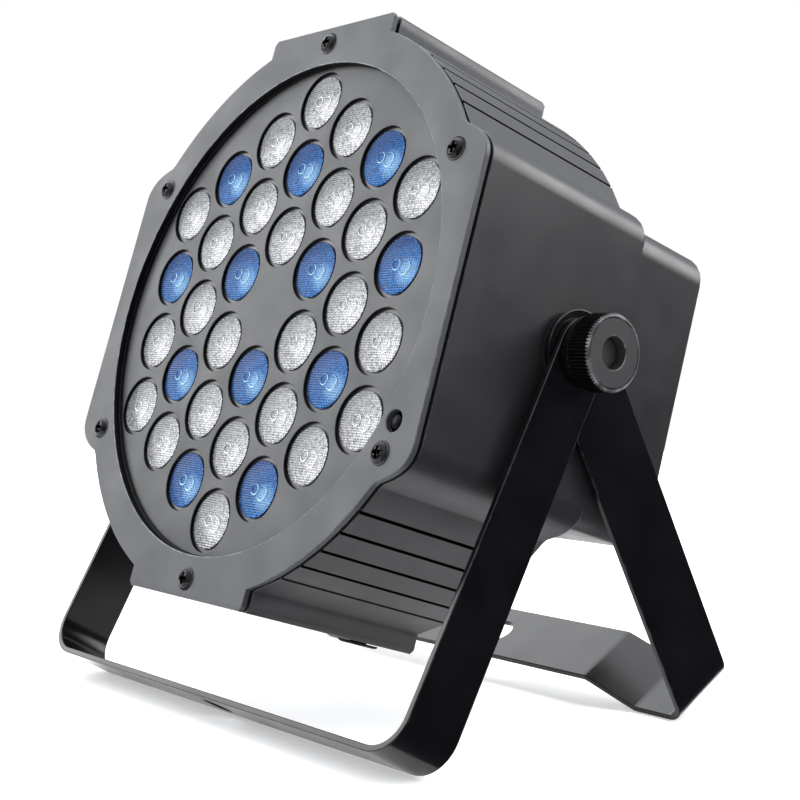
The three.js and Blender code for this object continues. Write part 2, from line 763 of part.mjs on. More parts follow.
function addHead(head) {
  addPart(head, 'housing', 'shell', surface(housing()));
  addPart(head, 'front_bezel', 'face', surface(bezel()));
  addPart(head, 'inner_panel', 'face', surface(innerPanel()));
  addPart(head, 'lens_array', 'lens', surface(lensArray()));
  addPart(head, 'led_board', 'board', surface(ledBoard()));
  addPart(head, 'heat_sink', 'sink', surface(heatSink()));
  addPart(head, 'remote_sensor', 'window', surface(sensor()));
  addPart(head, 'base_plug', 'rubber', surface(basePlug()));
  bezelScrewCentres().forEach((centre, i) => {
    const shape = screw(centre, FACE_Y - GAP, -1, 11);
    addPart(head, `bezel_screw_${i + 1}`, 'screw', surface(shape));
  });
}

function addRear(head) {
  addPart(head, 'rear_panel', 'shell', surface(rearPanel()));
  rearScrewCentres().forEach((centre, i) => {
    const shape = screw(centre, BOX_BACK_Y + GAP, 1, 9);
    addPart(head, `rear_screw_${i + 1}`, 'screw', surface(shape));
  });
  addPart(head, 'display_window', 'window', surface(displayWindow()));
  addPart(head, 'control_board', 'circuit', surface(controlBoard()));
  addPart(head, 'driver_board', 'circuit', surface(driverBoard()));
  Object.entries(BUTTONS).forEach(([name, x]) => {
    addPart(head, `button_${name}`, 'rubber', surface(button(x)));
  });
  addPart(head, 'fan_frame', 'fan', surface(fanFrame()));
  addPart(head, 'fan_rotor', 'fan', surface(fanRotor()));
  addPart(head, 'fan_guard', 'steel', surface(fanGuard()));
  addPart(head, 'dmx_in_socket', 'socket', surface(dmxSocket(DMX_IN_Z, true)));
  addPart(head, 'dmx_out_socket', 'socket', surface(dmxSocket(DMX_OUT_Z, false)));
  addPart(head, 'power_inlet', 'socket', surface(powerInlet()));
  addPart(head, 'fuse_holder', 'socket', surface(fuseHolder()));
  addPart(head, 'safety_eye', 'steel', surface(safetyEye()));
}

function addPivot(head, side, place) {
  addPart(head, `pivot_nut_${side}`, 'steel', surface(place(pivotNut())));
  addPart(head, `friction_pad_${side}`, 'rubber', surface(place(axleRing(STUD_R + 2 * GAP, PAD_R, PAD_X))));
  addPart(head, `knob_washer_${side}`, 'steel', surface(place(axleRing(STUD_R + GAP, WASHER_R, WASHER_X))));
  addPart(head, `knob_stud_${side}`, 'steel', surface(place(stud())));
  addPart(head, `knob_${side}`, 'knob', surface(place(knob())));
}

addHead(tilted.head);
addRear(tilted.head);
addPivot(tilted.head, 'right', (shape) => shape);
addPivot(tilted.head, 'left', mirrorX);
addPart(tilted.front, 'front_bracket', 'strap', surface(frontBracket()));
addPart(tilted.rear, 'rear_bracket', 'strap', surface(rearBracket()));

tilted.head.rotation.x = -radians(HEAD_PITCH);
tilted.front.rotation.x = -radians(FRONT_LEAN);
tilted.rear.rotation.x = radians(REAR_LEAN);

const standing = new THREE.Group();
standing.add(tilted.head, tilted.front, tilted.rear);
standing.updateMatrixWorld(true);
const bounds = new THREE.Box3().setFromObject(standing, true);
const middle = bounds.getCenter(new THREE.Vector3());
standing.position.set(0, -middle.y, -bounds.min.z);

const group = new THREE.Group();
group.add(standing);
export default group;
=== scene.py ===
"""Looks of the flat LED par can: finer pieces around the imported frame, their finishes, light and camera."""
import json
import math

import bmesh
import bpy
from mathutils import Matrix, Vector


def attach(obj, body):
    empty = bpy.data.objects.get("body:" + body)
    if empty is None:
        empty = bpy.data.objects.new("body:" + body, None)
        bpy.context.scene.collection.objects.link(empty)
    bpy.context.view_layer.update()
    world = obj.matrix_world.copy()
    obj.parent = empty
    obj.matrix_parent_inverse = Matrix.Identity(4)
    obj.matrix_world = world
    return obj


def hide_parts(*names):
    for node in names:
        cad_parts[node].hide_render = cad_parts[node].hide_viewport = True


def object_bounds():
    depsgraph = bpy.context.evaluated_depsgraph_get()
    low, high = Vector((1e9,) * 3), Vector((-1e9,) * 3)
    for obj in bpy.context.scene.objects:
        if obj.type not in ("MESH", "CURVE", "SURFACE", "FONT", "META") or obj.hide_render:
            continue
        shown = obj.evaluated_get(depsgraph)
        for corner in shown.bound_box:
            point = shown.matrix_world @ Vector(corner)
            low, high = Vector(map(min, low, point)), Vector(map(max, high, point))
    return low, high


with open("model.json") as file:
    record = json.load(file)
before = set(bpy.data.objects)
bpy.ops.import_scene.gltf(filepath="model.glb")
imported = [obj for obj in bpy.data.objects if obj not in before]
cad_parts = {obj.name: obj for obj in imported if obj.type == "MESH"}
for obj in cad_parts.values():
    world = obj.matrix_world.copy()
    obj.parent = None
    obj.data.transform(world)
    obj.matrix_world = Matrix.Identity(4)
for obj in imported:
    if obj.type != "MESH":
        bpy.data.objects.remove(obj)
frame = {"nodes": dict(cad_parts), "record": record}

CAD_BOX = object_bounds()
RECORD = frame["record"]
NODES = frame["nodes"]
JOINTS = {joint["name"]: joint for joint in RECORD["behaviour"]["joints"]}
MOUNTS = {mount["name"]: mount for mount in RECORD["mounts"]}
MM = 0.001


# ---- Local frames: origin on the pivot axis, x right, lengths in millimetres ----

def local_frame(back):
    """A frame whose y runs along back and whose z runs up, on the pivot axis."""
    right = Vector((1, 0, 0))
    back = Vector(back).normalized()
    turn = Matrix((right, back, right.cross(back))).transposed().to_4x4()
    return Matrix.Translation(JOINTS["head_tilt"]["pos_m"]) @ turn @ Matrix.Scale(MM, 4)


def bracket_frame(mount):
    """A bracket's own frame, its z against the crossbar's outer face."""
    up = -Vector(MOUNTS[mount]["axis"])
    return local_frame(up.cross(Vector((1, 0, 0))))


HEAD = local_frame(JOINTS["fan_spin"]["axis"])
FRONT = bracket_frame("front_clamp_face")
REAR = bracket_frame("rear_clamp_face")


def local_box(node, place=HEAD):
    """Lowest and highest corner of a CAD node in a local frame."""
    back = place.inverted()
    points = [back @ vertex.co for vertex in NODES[node].data.vertices]
    low = Vector(min(p[i] for p in points) for i in range(3))
    high = Vector(max(p[i] for p in points) for i in range(3))
    return low, high


def local_span(node):
    """A head-mounted node's corners and the x and z of its centre."""
    low, high = local_box(node)
    return low, high, (low.x + high.x) / 2, (low.z + high.z) / 2


def centre_xz(node):
    return local_span(node)[2:]


# ---- Sizes shared with the frame's design, in millimetres ----

BEZEL_LOW, BEZEL_HIGH = local_box("front_bezel")
SIDE_X = BEZEL_HIGH.x
TAB_Z = BEZEL_HIGH.z
SIDE_FLAT_Z = 44
CORNER_Z = 52.5
CORNER_END = (84.2, 56.3)
ARC_R = 100.7
ARC_START = 34.9
TAB_X = 34.25
TAB_CHAMFER = 1.6
OPENING_R = 87.5
SHADE_LIP_R = 86.2  # near-black ring behind the opening's edge; its colour is painted shade, and it reaches furthest in on the left
RIM_SETBACK = 0.9  # how far the shell's front rim is set back, for a shadow gap that a near-black plate behind the face fills with painted shade
SHADE_GASKET_INSET = 1.2
HOUSING_LOW, HOUSING_HIGH = local_box("housing")
DRUM_BACK_Y = 21.75  # where the round drum ends and the rear box goes on
SCREW_RING = 95.5
SCREW_ANGLES = (90, 30, -30, -90, -150, 150)
SENSOR = centre_xz("remote_sensor")
SENSOR_HOLE_R = 3.5
LENS_PITCH = 25
LENS_R = 9.65
LENS_HOLE_R = 11
STRAP = 2
STUD_R = 4
FLOOR_R = 1.3  # metres
FLOOR_SPLIT = 0.1  # metres, under the right-hand straps
AXLE_TURN = Matrix(((0, 1, 0, 0), (0, 0, 1, 0), (1, 0, 0, 0), (0, 0, 0, 1)))  # lays a turned piece along x


# ---- Making meshes ----

def as_object(name, mesh):
    piece = bpy.data.objects.new(name, mesh)
    bpy.context.scene.collection.objects.link(piece)
    return piece


def from_bmesh(name, build):
    mesh = bpy.data.meshes.new(name)
    build.normal_update()
    build.to_mesh(mesh)
    build.free()
    return as_object(name, mesh)


def evaluated(piece):
    """The piece with its modifiers or its curve turned into a plain mesh."""
    graph = bpy.context.evaluated_depsgraph_get()
    mesh = bpy.data.meshes.new_from_object(piece.evaluated_get(graph))
    name = piece.name
    bpy.data.objects.remove(piece)
    made = as_object(name, mesh)
    made.name = name
    return made


def modified(piece, kind, **values):
    """The piece after one modifier with these values."""
    modifier = piece.modifiers.new(kind, kind)
    for key, value in values.items():
        setattr(modifier, key, value)
    return evaluated(piece)


def opened(piece):
    build = bmesh.new()
    build.from_mesh(piece.data)
    return build


def written_back(build, piece):
    build.to_mesh(piece.data)
    build.free()
    return piece


def weld(piece):
    build = opened(piece)
    bmesh.ops.remove_doubles(build, verts=build.verts, dist=0.001)
    bmesh.ops.recalc_face_normals(build, faces=build.faces)
    return written_back(build, piece)


def mark_wear_and_sheen(piece, is_edge):
    """Marks the faces that round an edge, where a finish rubs first and where some finishes carry a painted
    highlight.
    """
    layer = piece.data.attributes.get("wear_and_sheen") or piece.data.attributes.new("wear_and_sheen", "FLOAT", "FACE")
    for face, mark in zip(piece.data.polygons, layer.data):
        mark.value = float(is_edge(face))
    return piece


def circle(r, sides=48, x=0, z=0):
    turn = 2 * math.pi / sides
    return [(x + r * math.cos(i * turn), z + r * math.sin(i * turn)) for i in range(sides)]


def polar(r, degrees):
    return r * math.cos(math.radians(degrees)), r * math.sin(math.radians(degrees))


def rounded_rectangle(width, height, r, x=0, z=0, steps=8):
    points = []
    corners = ((1, 1, 0), (-1, 1, 90), (-1, -1, 180), (1, -1, 270))
    for side_x, side_z, start in corners:
        cx = x + side_x * (width / 2 - r)
        cz = z + side_z * (height / 2 - r)
        for i in range(steps + 1):
            dx, dz = polar(r, start + 90 * i / steps)
            points.append((cx + dx, cz + dz))
    return points


def add_spline(curve, points, closed):
    spline = curve.splines.new("POLY")
    spline.points.add(len(points) - 1)
    for target, point in zip(spline.points, points):
        target.co = (*point, 1)
    spline.use_cyclic_u = closed


def plate(name, outline, holes, front, back, bevel=0.3, steps=2):
    """A flat piece in x and z with rounded edges round its outline and its holes."""
    curve = bpy.data.curves.new(name, "CURVE")
    curve.dimensions = "2D"
    curve.fill_mode = "BOTH"
    for points in [outline, *holes]:
        add_spline(curve, [(x, z, 0) for x, z in points], True)
    curve.extrude = (back - front) / 2 - bevel
    curve.bevel_depth = bevel
    curve.bevel_resolution = steps
    curve.offset = -bevel
    piece = weld(evaluated(as_object(name, curve)))
    turn = Matrix(((1, 0, 0, 0), (0, 0, -1, (front + back) / 2), (0, 1, 0, 0), (0, 0, 0, 1)))
    piece.data.transform(turn)
    return mark_wear_and_sheen(piece, lambda face: 0.05 < abs(face.normal.y) < 0.98)


def lathe(name, profile, x=0, z=0, sides=48, radius=None):
    """A turned piece round a y axis, from (radius, y) corners. radius(r, y, angle) may reshape it."""
    build = bmesh.new()
    rings = []
    for r, y in profile:
        if r == 0:
            rings.append([build.verts.new((x, y, z))] * sides)
            continue
        ring = []
        for i in range(sides):
            angle = 2 * math.pi * i / sides
            reach = radius(r, y, angle) if radius else r
            ring.append(build.verts.new((x + reach * math.cos(angle), y, z + reach * math.sin(angle))))
        rings.append(ring)
    for low, high in zip(rings, rings[1:] + rings[:1]):
        for i in range(sides):
            k = (i + 1) % sides
            corners = list(dict.fromkeys((low[i], low[k], high[k], high[i])))
            if len(corners) > 2 and not build.faces.get(corners):
                build.faces.new(corners)
    bmesh.ops.recalc_face_normals(build, faces=build.faces)
    piece = from_bmesh(name, build)
    return mark_wear_and_sheen(piece, lambda face: 0.2 < abs(face.normal.y) < 0.98)


def axle_lathe(name, profile, sides=48, radius=None):
    """A turned piece round the pivot axis."""
    piece = lathe(name, profile, sides=sides, radius=radius)
    piece.data.transform(AXLE_TURN)
    return piece


def ring_profile(inner, outer, low, high, b=0.25):
    """Corners of a ring's section, chamfered by b."""
    return [(inner, low + b), (inner + b, low), (outer - b, low), (outer, low + b), (outer, high - b),
            (outer - b, high), (inner + b, high), (inner, high - b)]


def box(name, low, high, bevel=0.0, segments=2):
    build = bmesh.new()
    bmesh.ops.create_cube(build, size=1)
    low, high = Vector(low), Vector(high)
    for vertex in build.verts:
        vertex.co = (low + high) / 2 + vertex.co * (high - low)
    if bevel:
        bmesh.ops.bevel(build, geom=build.edges[:], offset=bevel, segments=segments, affect="EDGES",
                        profile=0.5)
    return mark_wear_and_sheen(from_bmesh(name, build), lambda face: max(abs(c) for c in face.normal) < 0.98)


def tube(name, points, r, closed=False, sides=8):
    """A round wire along points."""
    curve = bpy.data.curves.new(name, "CURVE")
    curve.dimensions = "3D"
    add_spline(curve, points, closed)
    curve.bevel_depth = r
    curve.bevel_resolution = sides // 2 - 2
    curve.use_fill_caps = not closed
    return weld(evaluated(as_object(name, curve)))


def joined(name, pieces):
    build = bmesh.new()
    for piece in pieces:
        build.from_mesh(piece.data)
        bpy.data.objects.remove(piece)
    return from_bmesh(name, build)


def cut(piece, cutters):
    """Takes the cutters out of the piece."""
    for cutter in cutters:
        modifier = piece.modifiers.new("cut", "BOOLEAN")
        modifier.operation = "DIFFERENCE"
        modifier.solver = "EXACT"
        modifier.object = cutter
    made = evaluated(piece)
    for cutter in cutters:
        bpy.data.objects.remove(cutter)
    return made


def mirrored(piece, name):
    mesh = piece.data.copy()
    mesh.transform(Matrix.Scale(-1, 4, Vector((1, 0, 0))))
    mesh.flip_normals()
    return as_object(name, mesh)


def placed(piece, slot, material, *nodes, body="head", place=HEAD, smooth=32):
    """Moves a piece from its local frame to the row frame and gives it its finish, body and nodes."""
    piece.data.transform(place)
    piece.data.materials.clear()
    piece.data.materials.append(material)
    piece.data.shade_smooth()
    piece.data.set_sharp_from_angle(angle=math.radians(smooth))
    piece = modified(piece, "WEIGHTED_NORMAL", keep_sharp=True, weight=100)
    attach(piece, body)
    if nodes:
        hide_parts(*nodes)
    return piece


def placed_pair(right, name, bodies, slot, material, node, smooth=32):
    """Places a right-hand piece and its mirror image, for the nodes node_right and node_left."""
    pair = (right, mirrored(right, f"{name}_left"))
    return [placed(piece, slot, material, f"{node}_{side}", body=body, smooth=smooth)
            for piece, body, side in zip(pair, bodies, ("right", "left"))]


# ---- Finishes ----

def add_node(tree, kind, *sources, **values):
    """A shader node with its settings and socket values, and with sources linked to its first sockets."""
    made = tree.nodes.new(kind)
    for key, value in values.items():
        if hasattr(made, key):
            setattr(made, key, value)
        else:
            made.inputs[key.replace("_", " ")].default_value = value
    for source, socket in zip(sources, made.inputs):
        tree.links.new(source, socket)
    return made


class Finish:
    """Small helper that wires one Principled material."""

    def __init__(self, name, color, roughness, metallic=0.0, specular=0.5, coat=0.0, coat_roughness=0.1):
        self.material = bpy.data.materials.new(name)
        self.material.use_nodes = True
        self.tree = self.material.node_tree
        self.shader = self.tree.nodes["Principled BSDF"]
        values = {"Base Color": (*color, 1), "Roughness": roughness, "Metallic": metallic,
                  "Specular IOR Level": specular, "Coat Weight": coat, "Coat Roughness": coat_roughness}
        for key, value in values.items():
            self.shader.inputs[key].default_value = value
        self.coordinates = self.tree.nodes.new("ShaderNodeTexCoord").outputs["Object"]

    def node(self, kind, *sources, **values):
        return add_node(self.tree, kind, *sources, **values)

    def link(self, source, target):
        self.tree.links.new(source, target)

    def noise(self, scale, detail=3.0, stretch=None):
        place = self.coordinates
        if stretch:
            place = self.node("ShaderNodeMapping", place, Scale=stretch).outputs["Vector"]
        return self.node("ShaderNodeTexNoise", place, Scale=scale, Detail=detail).outputs["Fac"]

    def spread(self, source, low, high, start=0.3, stop=0.7):
        return self.node("ShaderNodeMapRange", source, From_Min=start, From_Max=stop, To_Min=low,
                         To_Max=high).outputs["Result"]

    def mix(self, factor, first, second):
        made = self.node("ShaderNodeMix", factor, data_type="RGBA")
        for socket, value in ((made.inputs[6], first), (made.inputs[7], second)):
            if isinstance(value, tuple):
                socket.default_value = (*value, 1)
            else:
                self.link(value, socket)
        return made.outputs[2]

    def mottled(self, scale, first, second):
        return self.mix(self.spread(self.noise(scale), 0, 1), first, second)

    def glow(self, color, strength):
        self.shader.inputs["Emission Color"].default_value = (*color, 1)
        self.shader.inputs["Emission Strength"].default_value = strength

    def bump(self, sources):
        """Chains bumps from (height output, strength, distance)."""
        normal = None
        for source, strength, distance in sources:
            made = self.node("ShaderNodeBump", Strength=strength, Distance=distance)
            self.link(source, made.inputs["Height"])
            if normal:
                self.link(normal, made.inputs["Normal"])
            normal = made.outputs["Normal"]
        self.link(normal, self.shader.inputs["Normal"])

    def scuff_and_sheen(self, color, tint, scale=90, bright=None):
        """Mottles the colour, and lightens it along the rounded edges: scuffs in patches and, where bright is
        given, a painted highlight that never drops below a fifth of its strength.
        """
        mottle = self.mottled(scale, color, tint)
        edge = self.node("ShaderNodeAttribute", attribute_name="wear_and_sheen").outputs["Fac"]
        patches = self.spread(self.noise(260), 0.2 if bright else 0, 1, 0.42, 0.66)
        scuffs_and_sheen = self.node("ShaderNodeMath", edge, patches, operation="MULTIPLY")
        bright = bright or tuple(2 * c + 0.015 for c in color)
        self.paint(self.mix(scuffs_and_sheen.outputs[0], mottle, bright))

    def paint(self, source):
        self.link(source, self.shader.inputs["Base Color"])

    def rough(self, low, high, scale=60):
        self.link(self.spread(self.noise(scale, 4), low, high), self.shader.inputs["Roughness"])


def moulded(name, color, roughness, grain=2200, grain_depth=0.00003, specular=0.5, edge=None):
    """Moulded plastic with a fine even grain, and edges of another colour: scuffs and, where edge is given, a
    painted highlight along them.
    """
    finish = Finish(name, color, roughness, specular=specular)
    tint = tuple(1.15 * c + 0.001 for c in color)
    finish.scuff_and_sheen(color, tint, bright=edge)
    finish.rough(roughness - 0.05, roughness + 0.06)
    finish.bump([(finish.noise(grain, 2), 0.35, grain_depth), (finish.noise(35, 2), 0.06, 0.0004)])
    return finish.material


def painted(name, color, roughness, orange_peel=0.08, specular=0.5):
    """Powder coat: a soft orange peel and small scuffs along the edges."""
    finish = Finish(name, color, roughness, specular=specular)
    tint = tuple(1.3 * c + 0.001 for c in color)
    finish.scuff_and_sheen(color, tint, 70)
    finish.rough(roughness - 0.05, roughness + 0.07, 45)
    finish.bump([(finish.noise(900, 2), orange_peel, 0.00006), (finish.noise(3200, 2), 0.12, 0.00002)])
    return finish.material


def metal(name, color, roughness, stretch=(1, 1, 1), brushed=600):
    finish = Finish(name, color, roughness, metallic=1.0)
    dull = tuple(0.72 * c for c in color)
    finish.paint(finish.mottled(150, color, dull))
    finish.rough(roughness - 0.08, roughness + 0.12, 200)
    finish.bump([(finish.noise(brushed, 3, stretch), 0.15, 0.00003)])
    return finish.material


def rubbery(name, color):
    finish = Finish(name, color, 0.75, specular=0.15)
    dusty = tuple(1.6 * c + 0.004 for c in color)
    finish.paint(finish.mottled(120, color, dusty))
    finish.rough(0.65, 0.85)
    finish.bump([(finish.noise(1500, 2), 0.25, 0.00005)])
    return finish.material


def beaded_lens(name, color, deep, painted_gleam, roughness, silver, coat):
    """Moulded lens face: tinted, silvery from the reflector behind it, with bright and dull facets. Its colour
    carries painted shading, darker towards each lens's upper left, and a painted highlight colour towards its
    lower right.
    """
    finish = Finish(name, color, roughness, metallic=silver, specular=0.6, coat=coat, coat_roughness=0.06)
    painted_shade = finish.node("ShaderNodeAttribute", attribute_name="painted_shade").outputs["Fac"]
    # Painted shade: the colour runs from the darker copy deep to the lens colour; dull facets are darker copies
    # still.
    painted_lit = finish.mix(finish.spread(painted_shade, 0, 1, 0.1, 0.85), deep, color)
    dull = finish.mix(painted_shade, tuple(0.55 * c for c in deep), deep)
    beads = finish.mix(finish.spread(finish.noise(1100, 1), 0, 0.85, 0.4, 0.6), painted_lit, dull)
    # Painted highlight colour, mixed in by each facet's highlight mark.
    painted_glint = finish.node("ShaderNodeAttribute", attribute_name="painted_gleam").outputs["Fac"]
    finish.paint(finish.mix(painted_glint, beads, painted_gleam))
    finish.rough(roughness - 0.06, roughness + 0.1, 500)
    finish.bump([(finish.noise(1800, 1), 0.25, 0.0001)])
    return finish.material


def clear_window(name, color):
    finish = Finish(name, color, 0.06, specular=0.6, coat=1.0, coat_roughness=0.03)
    finish.paint(finish.mottled(300, color, tuple(1.3 * c for c in color)))
    finish.rough(0.04, 0.12, 250)
    finish.bump([(finish.noise(120, 2), 0.02, 0.0002)])
    return finish.material


def glowing(name, color, strength):
    finish = Finish(name, color, 0.4)
    finish.glow(color, strength)
    finish.rough(0.3, 0.5, 400)
    return finish.material


def circuit_board(name, mask, copper):
    """Solder mask with faint tracks under it."""
    finish = Finish(name, mask, 0.35, coat=0.3)
    tracks = finish.node("ShaderNodeTexBrick", finish.coordinates, Scale=140.0)
    finish.paint(finish.mix(tracks.outputs["Fac"], mask, copper))
    finish.rough(0.3, 0.45, 300)
    finish.bump([(tracks.outputs["Fac"], 0.3, 0.00003)])
    return finish.material


SHELL = moulded("shell_plastic", (0.012, 0.012, 0.0135), 0.38)
# The face plastic's edge colour is a painted highlight.
FACE = moulded("face_plastic", (0.026, 0.028, 0.032), 0.44, edge=(0.2, 0.21, 0.22))
PANEL = moulded("panel_plastic", (0.026, 0.027, 0.029), 0.46)
# Near-black painted shade for hollows, grooves, hole walls and shadow gaps.
PAINTED_RECESS_SHADE = moulded("painted_recess_shade", (0.0015, 0.0015, 0.002), 0.5, specular=0.12)
# Knob sides: a near-black copy of the knob plastic as painted shade, with a painted highlight colour for the
# rim.
KNOB_SHADED = moulded("knob_shaded_plastic", (0.0012, 0.0012, 0.0016), 0.3, grain=3000, specular=0.3,
               edge=(0.17, 0.17, 0.175))
KNOB_LIT_FACE = moulded("knob_lit_face_plastic", (0.021, 0.021, 0.022), 0.5, grain=3000)
SOCKET = moulded("socket_plastic", (0.016, 0.016, 0.018), 0.34, grain=1500)
FAN = moulded("fan_plastic", (0.018, 0.018, 0.019), 0.45)
STRAP_PAINT = painted("strap_powder_coat", (0.002, 0.002, 0.0028), 0.2, specular=0.34)
REAR_PAINT = painted("rear_powder_coat", (0.02, 0.02, 0.022), 0.5, 0.3)
BLACK_STEEL = painted("black_screw_steel", (0.0012, 0.0012, 0.0016), 0.08, 0.02, specular=0.16)
STEEL = metal("zinc_steel", (0.36, 0.365, 0.38), 0.32)
GUARD = painted("guard_coating", (0.012, 0.012, 0.013), 0.35)
RUBBER = rubbery("black_rubber", (0.006, 0.006, 0.006))
# Lens finishes: lens colour, a darker copy as painted shade, a painted highlight colour, roughness, metallic
# share and coat.
CLEAR = beaded_lens("clear_lens", (0.56, 0.555, 0.56), (0.17, 0.173, 0.18), (0.92, 0.91, 0.92),
                    0.2, 0.55, 0.7)
BLUE = beaded_lens("blue_lens", (0.002, 0.135, 0.4), (0.001, 0.042, 0.17), (0.5, 0.78, 0.95), 0.2, 0.5, 0.25)
WINDOW = clear_window("dark_window", (0.03, 0.006, 0.006))
SENSOR_BLACK = moulded("sensor_black", (0.0006, 0.0005, 0.0006), 0.3, grain=3000, specular=0.08,
                       edge=(0.001, 0.001, 0.001))
DIGIT = glowing("red_digit", (0.9, 0.03, 0.02), 0.6)
CIRCUIT = circuit_board("green_board", (0.015, 0.09, 0.035), (0.03, 0.16, 0.06))
BOARD = circuit_board("white_board", (0.75, 0.76, 0.77), (0.62, 0.63, 0.64))
SINK = metal("plain_aluminium", (0.62, 0.63, 0.65), 0.4, (1, 1, 20), 900)
PIN = metal("contact_pin", (0.72, 0.66, 0.5), 0.25)


# ---- The lamp's face ----

def quarter_outline(inset):
    """A quarter of the face's outline, from the x axis round to the z axis."""
    side = SIDE_X - inset
    start, bend = (side, SIDE_FLAT_Z), (side, CORNER_Z - inset)
    end = (CORNER_END[0], CORNER_END[1] - inset)
    points = []
    for i in range(13):
        t = i / 12
        points.append(tuple((1 - t) ** 2 * a + 2 * t * (1 - t) * b + t * t * c
                            for a, b, c in zip(start, bend, end)))
    r = ARC_R - inset
    tab_x = TAB_X - inset
    last = math.degrees(math.acos(tab_x / r))
    for i in range(13):
        points.append(polar(r, ARC_START + (last - ARC_START) * i / 12))
    points.append((tab_x, TAB_Z - inset - TAB_CHAMFER))
    points.append((tab_x - TAB_CHAMFER, TAB_Z - inset))
    return points


def face_outline(inset=0):
    quarter = quarter_outline(inset)
    upper = quarter + [(-x, z) for x, z in quarter[::-1]]
    return upper + [(-x, -z) for x, z in upper]


def lens_centres():
    """(x, z, is blue) of each lens: hexagonal rings about an empty centre."""
    centres = []
    blue_places = {(2, 2), (0, 2), (3, 0.5), (1, 0.5), (2, -1), (0, -1), (1, -2.5)}
    for column in range(-3, 4):
        rows = 7 - abs(column)
        for row in range(rows):
            up = row - (rows - 1) / 2
            if column or up:
                blue = (abs(column), up) in blue_places
                centres.append((column * LENS_PITCH * math.sqrt(0.75), up * LENS_PITCH, blue))
    return centres


def repaint(piece, material, is_chosen):
    """Gives a second finish to the faces chosen by is_chosen(centre, normal), in the head's frame."""
    piece.data.materials.append(material)
    back = HEAD.inverted()
    turn = back.to_quaternion()
    for face in piece.data.polygons:
        if is_chosen(back @ face.center, turn @ face.normal):
            face.material_index = 1


def make_bezel():
    holes = [circle(OPENING_R, 160)]
    holes += [circle(2.2, 20, *polar(SCREW_RING, angle)) for angle in SCREW_ANGLES]
    holes.append(circle(SENSOR_HOLE_R, 32, *SENSOR))
    bezel = plate("front_plate", face_outline(), holes, BEZEL_LOW.y, BEZEL_HIGH.y, 0.35)
    # The opening's rounded edge gets the full mark and the outer edges a quarter: a painted light line,
    # strongest along the opening.
    mark_wear_and_sheen(bezel, lambda face: (-0.98 < face.normal.y < -0.05)
              * (1.0 if math.hypot(face.center.x, face.center.z) < OPENING_R + 0.5 else 0.25))
    panel_y = local_box("inner_panel")[0].y
    # The ring behind the opening is near-black painted shade; it reaches furthest into the opening on the left,
    # where the shade falls.
    shade_lip = lathe("shade_lip", ring_profile(SHADE_LIP_R, OPENING_R + 1, BEZEL_HIGH.y - 0.1, panel_y - 0.1, 0.05), sides=160,
                radius=lambda r, y, angle: max(r, SHADE_LIP_R + 1.5 * min(1, max(0, 0.6 + math.cos(angle)))))
    shade_gasket = plate("shade_gasket", face_outline(SHADE_GASKET_INSET), [circle(OPENING_R + 1, 160), *holes[1:]],
                   BEZEL_HIGH.y - 0.05, HOUSING_LOW.y + RIM_SETBACK + 0.05, 0.1)
    bezel = placed(joined("front_plate", [bezel, shade_lip, shade_gasket]), "face", FACE, "front_bezel")

    def in_shadow_gap(spot, normal):
        reach = math.hypot(spot.x, spot.z)
        at_opening = SHADE_LIP_R - 0.1 < reach < OPENING_R + 1.1 and spot.y > BEZEL_LOW.y + 0.25
        return at_opening or spot.y > BEZEL_HIGH.y + 0.001

    # Near-black painted shade on the opening's wall, the ring behind it and the plate behind the face.
    repaint(bezel, PAINTED_RECESS_SHADE, in_shadow_gap)


def make_inner_panel():
    low, high = local_box("inner_panel")
    holes = [circle(LENS_HOLE_R, 48, x, z) for x, z, _ in lens_centres()]
    panel = plate("inner_face", circle(high.x, 128), holes, low.y, high.y, 0.3, 3)
    panel = placed(panel, "face", PANEL, "inner_panel")
    # Near-black painted shade on the walls of the lens holes.
    repaint(panel, PAINTED_RECESS_SHADE, lambda spot, normal: abs(normal.y) < 0.6)


LENS_RIM_Y = -49
LENS_DOME = 0.9
LENS_CONE = ((LENS_R, LENS_RIM_Y + 0.5), (8.8, -46), (6, -39.6))  # (radius, y) behind the rim
CARRIER_R = 88
CARRIER_HOLE_R = 9.2
CARRIER_Y = (-48.45, -46.95)
FACET = 0.8  # pitch of the pyramid facets
FACET_HEIGHT = 0.24
LENS_MARKS = ((-0.4, -0.2, 1.8), (3.7, -1.2, 2.4))  # x, z and radius of the rings seen in each lens
LENS_CELLS = math.ceil(LENS_R / FACET)
PAINTED_GLEAM_AT = (5.0, -2.8)  # centre of the painted highlight on each lens
PAINTED_GLEAM_R = 5.6
PAINTED_GLEAM = 0.45


def lens_height(x, z):
    """How far the lens face stands out of its rim."""
    return LENS_DOME * (1 - (x * x + z * z) / LENS_R ** 2)


def lens_layers(build):
    """Face layers for a facet's painted shading and for how much painted highlight it carries."""
    layers = build.faces.layers.float
    return [layers.get(name) or layers.new(name) for name in ("painted_shade", "painted_gleam")]


